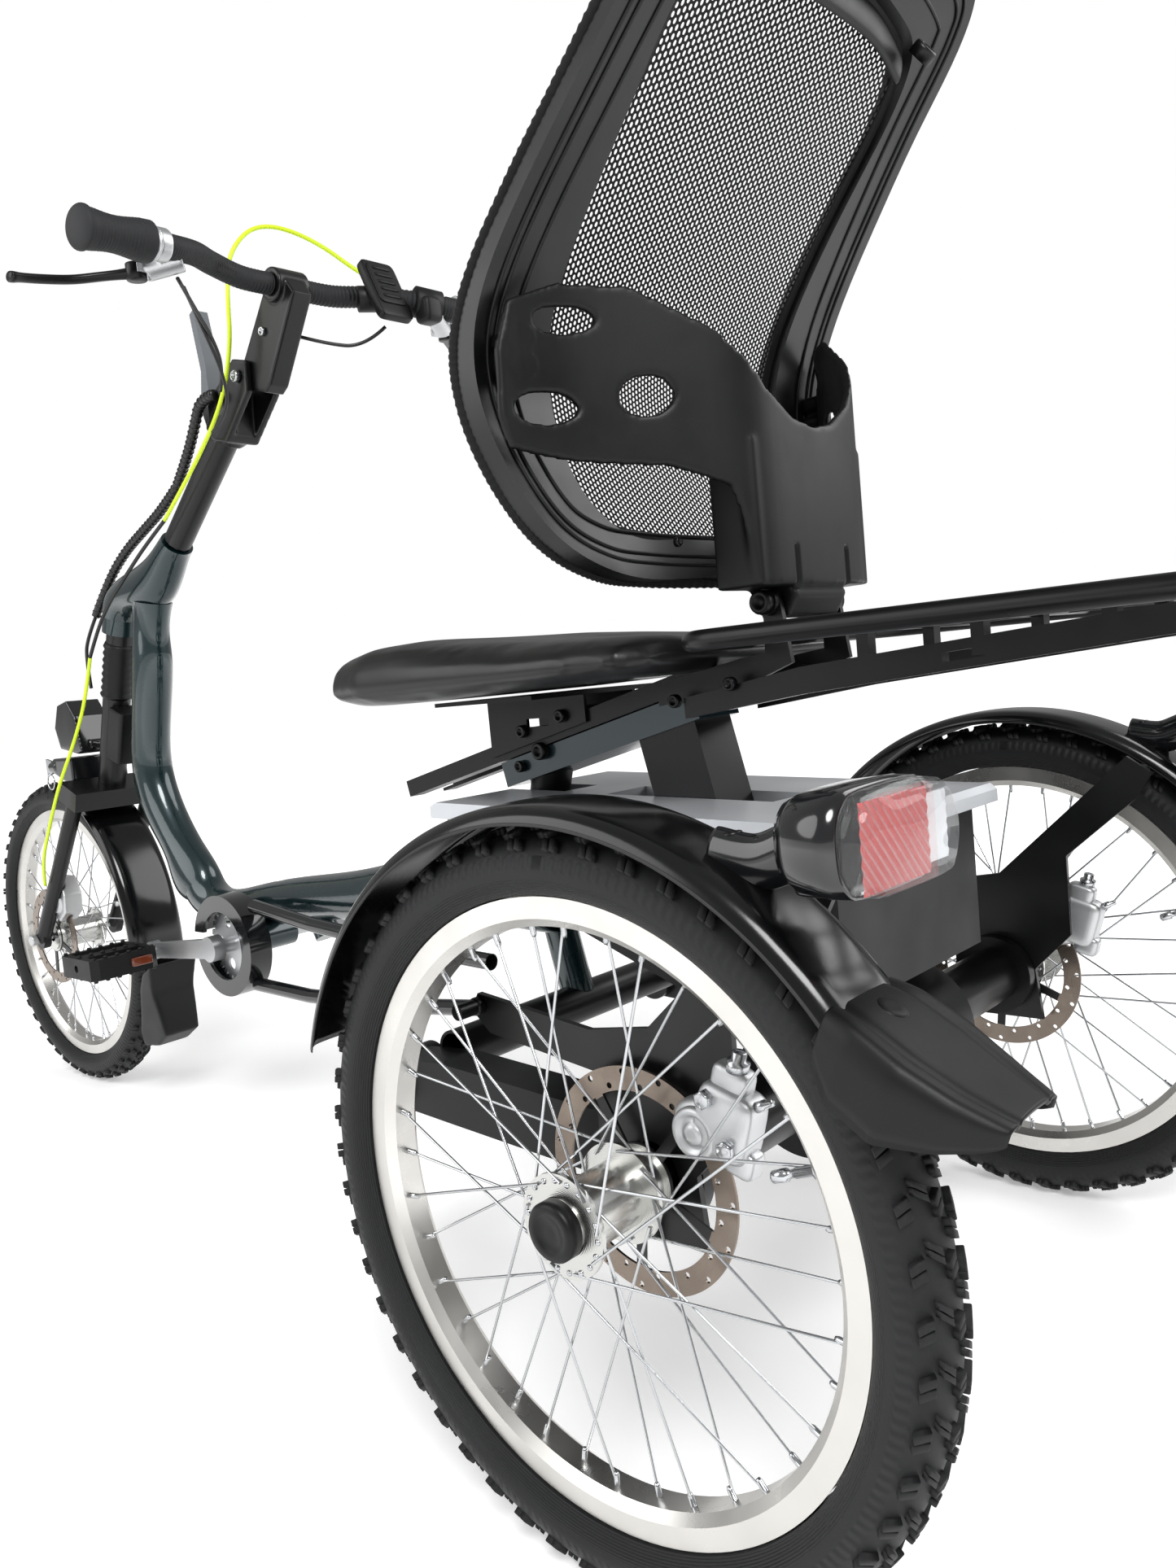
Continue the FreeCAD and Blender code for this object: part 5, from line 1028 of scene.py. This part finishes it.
def valve(spot, turn):
    # threaded stem, ring nut and cap pointing at the axle
    out = np.array([math.sin(turn), 0.0, math.cos(turn)])
    foot = np.array(spot) + out * 0.190
    profile = [(0, 0.0042), (0.002, 0.0062), (0.005, 0.0062), (0.0055, 0.0032), (0.020, 0.0032),
               (0.0205, 0.0026), (0.026, 0.0026), (0.0265, 0.0040), (0.036, 0.0038),
               (0.037, 0.0028)]
    return turned(profile, foot, -out, 20)


for side, (x, y) in wheelSpots.items():
    spot = (x, y, wheelHeight)
    parts = [nipples(spot), valve(spot, -1.22), spokeHeads(spot)]
    makePiece(side + "RimTrim", join(parts), brightSteel, side + "_wheel", ())
    if side != "front":
        out = 1 if side == "left" else -1
        cover = turned([(-0.002, 0.0195), (0.006, 0.0195), (0.0085, 0.0175), (0.0085, 0.012),
                        (0.0078, 0.0115), (0.0078, 0.004)], (x, y + out * 0.0335, wheelHeight),
                       (0, out, 0), 48)
        makePiece(side + "HubCover", cover, mouldedBlack, side + "_wheel", ())
print("wheel trim made")


def caliperParts():
    # a cast bridge over the rotor with a piston boss, mounting bolts, hose joint and bleed screw
    cast = [roundedBlock((-0.760, 0.3030, 0.313), (0.022, 0.0130, 0.024), 0.42, -0.30),
            roundedBlock((-0.742, 0.3020, 0.306), (0.022, 0.0110, 0.020), 0.6, 0.2),
            roundedBlock((-0.765, 0.3020, 0.340), (0.014, 0.0085, 0.010), 0.5, -0.30),
            roundedBlock((-0.768, 0.3020, 0.288), (0.012, 0.0085, 0.010), 0.5, -0.30),
            turned([(-0.010, 0.0175), (0.001, 0.0175), (0.003, 0.0155), (0.003, 0.0125),
                    (0.0006, 0.0115), (0.0006, 0.0075), (0.004, 0.0070), (0.004, 0.003)],
                   (-0.739, 0.3130, 0.304), (0, 1, 0), 40)]
    hexHead = [(-0.004, 0.0062), (0.004, 0.0062), (0.0045, 0.0050)]
    bright = [turned(hexHead, (-0.766, 0.3165, 0.300), (0, 1, 0), 18, 6),
              turned(hexHead, (-0.752, 0.3165, 0.330), (0, 1, 0), 18, 6),
              turned([(0.0, 0.0075), (0.007, 0.0075), (0.0075, 0.0048), (0.013, 0.0048),
                      (0.0135, 0.0036)], (-0.770, 0.3040, 0.347), (-0.25, 0, 0.97), 20),
              turned([(0.0, 0.0035), (0.008, 0.0035), (0.0085, 0.0025), (0.014, 0.0025)],
                     (-0.783, 0.3060, 0.326), (-0.9, 0, 0.4), 14)]
    return join(cast), join(bright)


cast, bright = caliperParts()
for side in ("left", "right"):
    makePiece(side + "Caliper", sided(cast, side), castAlloy, "frame",
              ("rear_calipers",) if side == "left" else ())
    makePiece(side + "CaliperBolts", sided(bright, side), brightSteel, "frame", ())
print("calipers made")


def gripLine(y):
    # the bar's straight end, as a function of the distance from the middle
    y = np.asarray(y, float)
    return np.stack([-0.050 - (y - 0.192) * 0.0926, y, 1.086 - (y - 0.192) * 0.0370], -1)


def gripShape():
    # swells at the palm, necks at the thumb, closes in a domed cap; fine rings for hold
    y = np.concatenate([np.linspace(0.221, 0.292, 90), np.linspace(0.2925, 0.3015, 10)])
    t = (y - 0.221) / 0.0805
    body = 0.0182 + 0.0017 * np.cos(t * 2 * math.pi) + 0.0012 * (t > 0.88)
    rings = 0.00035 * np.sin(y * 2 * math.pi / 0.0036) * ((t > 0.12) & (t < 0.80))
    dome = np.sqrt(np.clip(1 - ((t - 0.90) / 0.105).clip(0, 1) ** 2, 0.05, 1))
    radius = (body + rings) * dome
    return tubeAlong(gripLine(y), radius * 1.06, radius * 1.12, 36, False, (1, 0, 0))


def gripCollar(y, radius, width):
    # a short ring round the bar, a tenth smaller at both ends
    return tubeAlong(gripLine(np.linspace(y - width, y + width, 5)),
                     np.array([0.9, 1, 1, 1, 0.9]) * radius, None, 32)


grip = gripShape()
makePiece("leftGrip", grip, gripRubber, "bars", ("grip_left",))
makePiece("rightGrip", mirrored(grip), gripRubber, "throttle", ("twist_grip",))
collar = gripCollar(0.2165, 0.0172, 0.0035)
makePiece("leftCollar", collar, castAlloy, "bars", ())
makePiece("rightCollar", mirrored(collar), anodisedBlack, "bars", ())
rings = [turned([(-0.0016, 0.0112), (-0.001, 0.0118), (0.001, 0.0118), (0.0016, 0.0112)],
                (0.0237, y, 1.0998), (0.1 * np.sign(y), 1, 0), 28)
         for y in (0.028, 0.033, 0.038, -0.028, -0.033, -0.038)]
makePiece("barRings", join(rings), gripRubber, "bars", ())


def leverShape():
    # a flat-faced blade that curves away from the bar and thickens to a rounded tip
    route = [(-0.018, 0.212, 1.066), (0.006, 0.240, 1.064), (0.021, 0.268, 1.060),
             (0.025, 0.300, 1.056), (0.023, 0.332, 1.052)]
    line = smoothLine(route, 60)
    t = np.linspace(0, 1, 60)
    width = 0.0066 + 0.0012 * np.exp(-((t - 0.97) / 0.05) ** 2) + 0.003 * np.exp(-(t / 0.12) ** 2)
    return tubeAlong(line, width, width * 0.7, 20, False, (0, 0, 1))


knuckle = turned([(-0.0085, 0.010), (-0.008, 0.0105), (0.008, 0.0105), (0.0085, 0.010)],
                 (-0.016, 0.216, 1.066), (0, 0, 1), 28)
lever = join([leverShape(), knuckle])
makePiece("leftLever", lever, anodisedBlack, "left_lever", ("brake_lever_left",))
makePiece("rightLever", mirrored(lever), anodisedBlack, "right_lever", ("brake_lever_right",))


def screenParts():
    # control pad: a rounded box tilted 24 degrees, a raised field on it and five wide ribs
    tilt = math.radians(24)
    turn = np.array([[math.cos(tilt), 0, -math.sin(tilt)], [0, 1, 0],
                     [math.sin(tilt), 0, math.cos(tilt)]])
    spot = np.array([-0.018, -0.118, 1.103])
    parts = [roundedBlock((0, 0, 0), (0.0062, 0.0262, 0.0420), 0.22),
             roundedBlock((-0.0062, 0, 0.006), (0.0022, 0.021, 0.030), 0.25)]
    ribs = [roundedBlock((-0.0084, 0, z), (0.0016, 0.0145, 0.0024), 0.5, 0.0, 6, 12)
            for z in np.linspace(-0.014, 0.028, 5)]
    return [(points @ turn + spot, faces) for points, faces in parts + ribs]


strap = turned([(-0.014, 0.0150), (-0.013, 0.0158), (0.013, 0.0158), (0.014, 0.0150)],
               (0.004, -0.109, 1.0985), (0.52, 0.85, 0), 32)
makePiece("controlPad", join(screenParts() + [strap]), mouldedBlack, "bars", ("display",))
barHalf = np.array([(0.025, 0.024, 1.100), (0.020, 0.066, 1.099), (0.004, 0.112, 1.101),
                    (-0.028, 0.152, 1.094), (-0.050, 0.192, 1.086), (-0.052, 0.206, 1.0855)])
sleeveLine = smoothLine(barHalf, 260)
ripple = 0.0127 + 0.0004 * np.sin(np.linspace(0, 46 * 2 * math.pi, 260))
sleeve = tubeAlong(sleeveLine, ripple, ripple, 28, False, (0, 0, 1))
makePiece("barSleeves", join([sleeve, mirrored(sleeve)]), gripRubber, "bars", ())
along = np.array((-0.030, -0.085, -0.014))
housing = [turned([(-0.018, 0.0165), (-0.0165, 0.0190), (0.0165, 0.0190), (0.018, 0.0165)],
                  (-0.037, -0.168, 1.0905), along, 36),
           roundedBlock((-0.046, -0.162, 1.079), (0.014, 0.014, 0.016), 0.45),
           turned([(0, 0.0150), (0.016, 0.0150)], (-0.0445, -0.190, 1.0868), along, 36)]
makePiece("throttleHousing", join(housing), mouldedBlack, "bars", ())
print("controls made")


sideways = (0, 1, 0)
# cap screws on each body: place, direction and radius
fittings = {
    "frame": [((-0.362, 0.0335, 0.531), sideways, 0.009), ((-0.330, 0.0335, 0.516), sideways, 0.006),
              ((-0.826, 0.2925, 0.462), sideways, 0.007),
              ((-0.522, 0.2925, 0.357), sideways, 0.007),
              ((0.225, 0.0755, 0.292), sideways, 0.007)],
    "seat": [((-0.345, 0.0405, 0.552), sideways, 0.0065),
             ((-0.400, 0.0405, 0.565), sideways, 0.0065),
             ((-0.654, 0.056, 0.647), sideways, 0.010), ((-0.560, 0.0635, 0.572), sideways, 0.006),
             ((-0.620, 0.0635, 0.583), sideways, 0.006)],
    "bars": [((0.110, 0.0255, 1.012), sideways, 0.0075), ((0.025, 0.0235, 1.100), sideways, 0.0065),
             ((0.060, 0.0145, 1.055), sideways, 0.0055)],
    "backrest": [((-0.735, -0.128, 1.100), (-0.8, 0, 0.55), 0.011),
                 ((-0.618, 0.118, 0.700), (-1, 0, 0), 0.004)],
    "cranks": [((0.225, 0.083, 0.292), sideways, 0.011)],
}
for body, heads in fittings.items():
    parts = [boltHead(*head) for head in heads]
    makePiece(body + "Bolts", join(parts), brightSteel if body in ("bars", "cranks")
              else anodisedBlack, body, ())
for side, body, out in (("left", "left_pedal", 1), ("right", "right_pedal", -1)):
    low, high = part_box("pedal_" + side)
    middle = (low + high) / 2
    plates = [roundedBlock((x, middle.y - out * 0.022, middle.z), (0.0020, 0.015, 0.006), 0.25,
                           0.0, 8, 16) for x in (low.x - 0.0008, high.x + 0.0008)]
    makePiece(side + "PedalReflectors", join(plates), amberReflector, body, ())
    teeth = [turned([(-0.002, 0.003), (0.002, 0.003), (0.003, 0.002)],
                    (x, y, z), (0, 0, 1 if z > middle.z else -1), 8)
             for x in (low.x + 0.006, middle.x, high.x - 0.006)
             for y in np.linspace(low.y + 0.006, high.y - 0.006, 6)
             for z in (low.z, high.z)]
    makePiece(side + "PedalStuds", join(teeth), mouldedBlack, body, ())
boot = {"folds": 7, "pitch": 0.011, "valley": 0.0212, "ridge": 0.0238,
        "foot": (0.574, 0, 0.640), "steerAxis": (-0.3665, 0, 0.9304)}
folds = [(0, 0.0225), (0.004, 0.0245)]
for k in range(boot["folds"]):
    folds += [(0.008 + k * boot["pitch"], boot["valley"]), (0.0135 + k * boot["pitch"], boot["ridge"])]
folds += [(0.086, boot["valley"])]
makePiece("steererBoot", turned(folds, boot["foot"], boot["steerAxis"], 40), mouldedBlack,
          "fork_assembly", ())
print("fittings made")


studio = {
    # each light: name, place, what it points at, size and power
    "lights": [("key", (-2.6, 2.2, 3.4), (-0.2, 0, 0.5), 1.8, 135),
               ("fill", (1.6, 2.8, 2.2), (0, 0, 0.6), 3.0, 60),
               ("rear", (-2.4, -2.6, 2.6), (-0.2, 0, 0.6), 3.0, 80)],
    "skyLight": 0.36, "sensor": 36.0, "lens": 27.44, "camera": (-1.2036, 0.8914, 0.5974),
    "cameraRight": (-0.7407, -0.6653, -0.0934), "cameraBack": (-0.6717, 0.7357, 0.0863),
    "floorHalf": 40,
}


def makeFloor():
    # a wide square at the height of the tyres' contact
    half = studio["floorHalf"]
    mesh = bpy.data.meshes.new("floor")
    mesh.from_pydata([(-half, -half, 0), (half, -half, 0), (half, half, 0), (-half, half, 0)], [],
                     [(0, 1, 2, 3)])
    floor = bpy.data.objects.new("floor", mesh)
    bpy.context.scene.collection.objects.link(floor)
    # white studio floor; a glow that grows with distance makes up for the lamps' fall-off
    material, tree, shader = newMaterial("paleFloor", "#f4f4f4", 0.0, 0.85,
                                         Emission_Color=hexLinear("#ffffff"))
    place = addNode(tree, "ShaderNodeTexCoord")
    reach = addNode(tree, "ShaderNodeVectorMath", {0: place.outputs["Object"]}, operation="LENGTH")
    glow = addNode(tree, "ShaderNodeMapRange", {"Value": reach.outputs["Value"], "From Min": 0.9,
                                                "From Max": 3.0, "To Min": 0.30, "To Max": 0.85})
    tree.links.new(glow.outputs[0], shader.inputs["Emission Strength"])
    mesh.materials.append(material)


def makeLight(name, spot, target, size, power):
    # a soft round lamp that points at its target
    data = bpy.data.lights.new(name, "AREA")
    data.shape = "DISK"
    data.size = size
    data.energy = power
    light = bpy.data.objects.new(name, data)
    light.location = spot
    light.rotation_euler = (Vector(target) - Vector(spot)).to_track_quat("-Z", "Y").to_euler()
    bpy.context.scene.collection.objects.link(light)


def makeCamera():
    # the camera's axes are squared from its right and back directions
    data = bpy.data.cameras.new("camera")
    data.sensor_width = studio["sensor"]
    data.lens = studio["lens"]
    camera = bpy.data.objects.new("camera", data)
    right = Vector(studio["cameraRight"])
    back = Vector(studio["cameraBack"]).normalized()
    up = back.cross(right).normalized()
    right = up.cross(back)
    turn = Matrix((right, up, back)).transposed().to_4x4()
    camera.matrix_world = Matrix.Translation(studio["camera"]) @ turn
    bpy.context.scene.collection.objects.link(camera)
    bpy.context.scene.camera = camera


makeFloor()
for light in studio["lights"]:
    makeLight(*light)
world = bpy.data.worlds.new("studio")
bpy.context.scene.world = world
world.use_nodes = True
sky = world.node_tree
seen = addNode(sky, "ShaderNodeLightPath")
strength = addNode(sky, "ShaderNodeMapRange", {"Value": seen.outputs["Is Camera Ray"],
                                               "To Min": studio["skyLight"], "To Max": 1.0})
sky.nodes["Background"].inputs["Color"].default_value = hexLinear("#ffffff")
sky.links.new(strength.outputs[0], sky.nodes["Background"].inputs["Strength"])
bpy.context.scene.view_settings.view_transform = "Standard"
makeCamera()
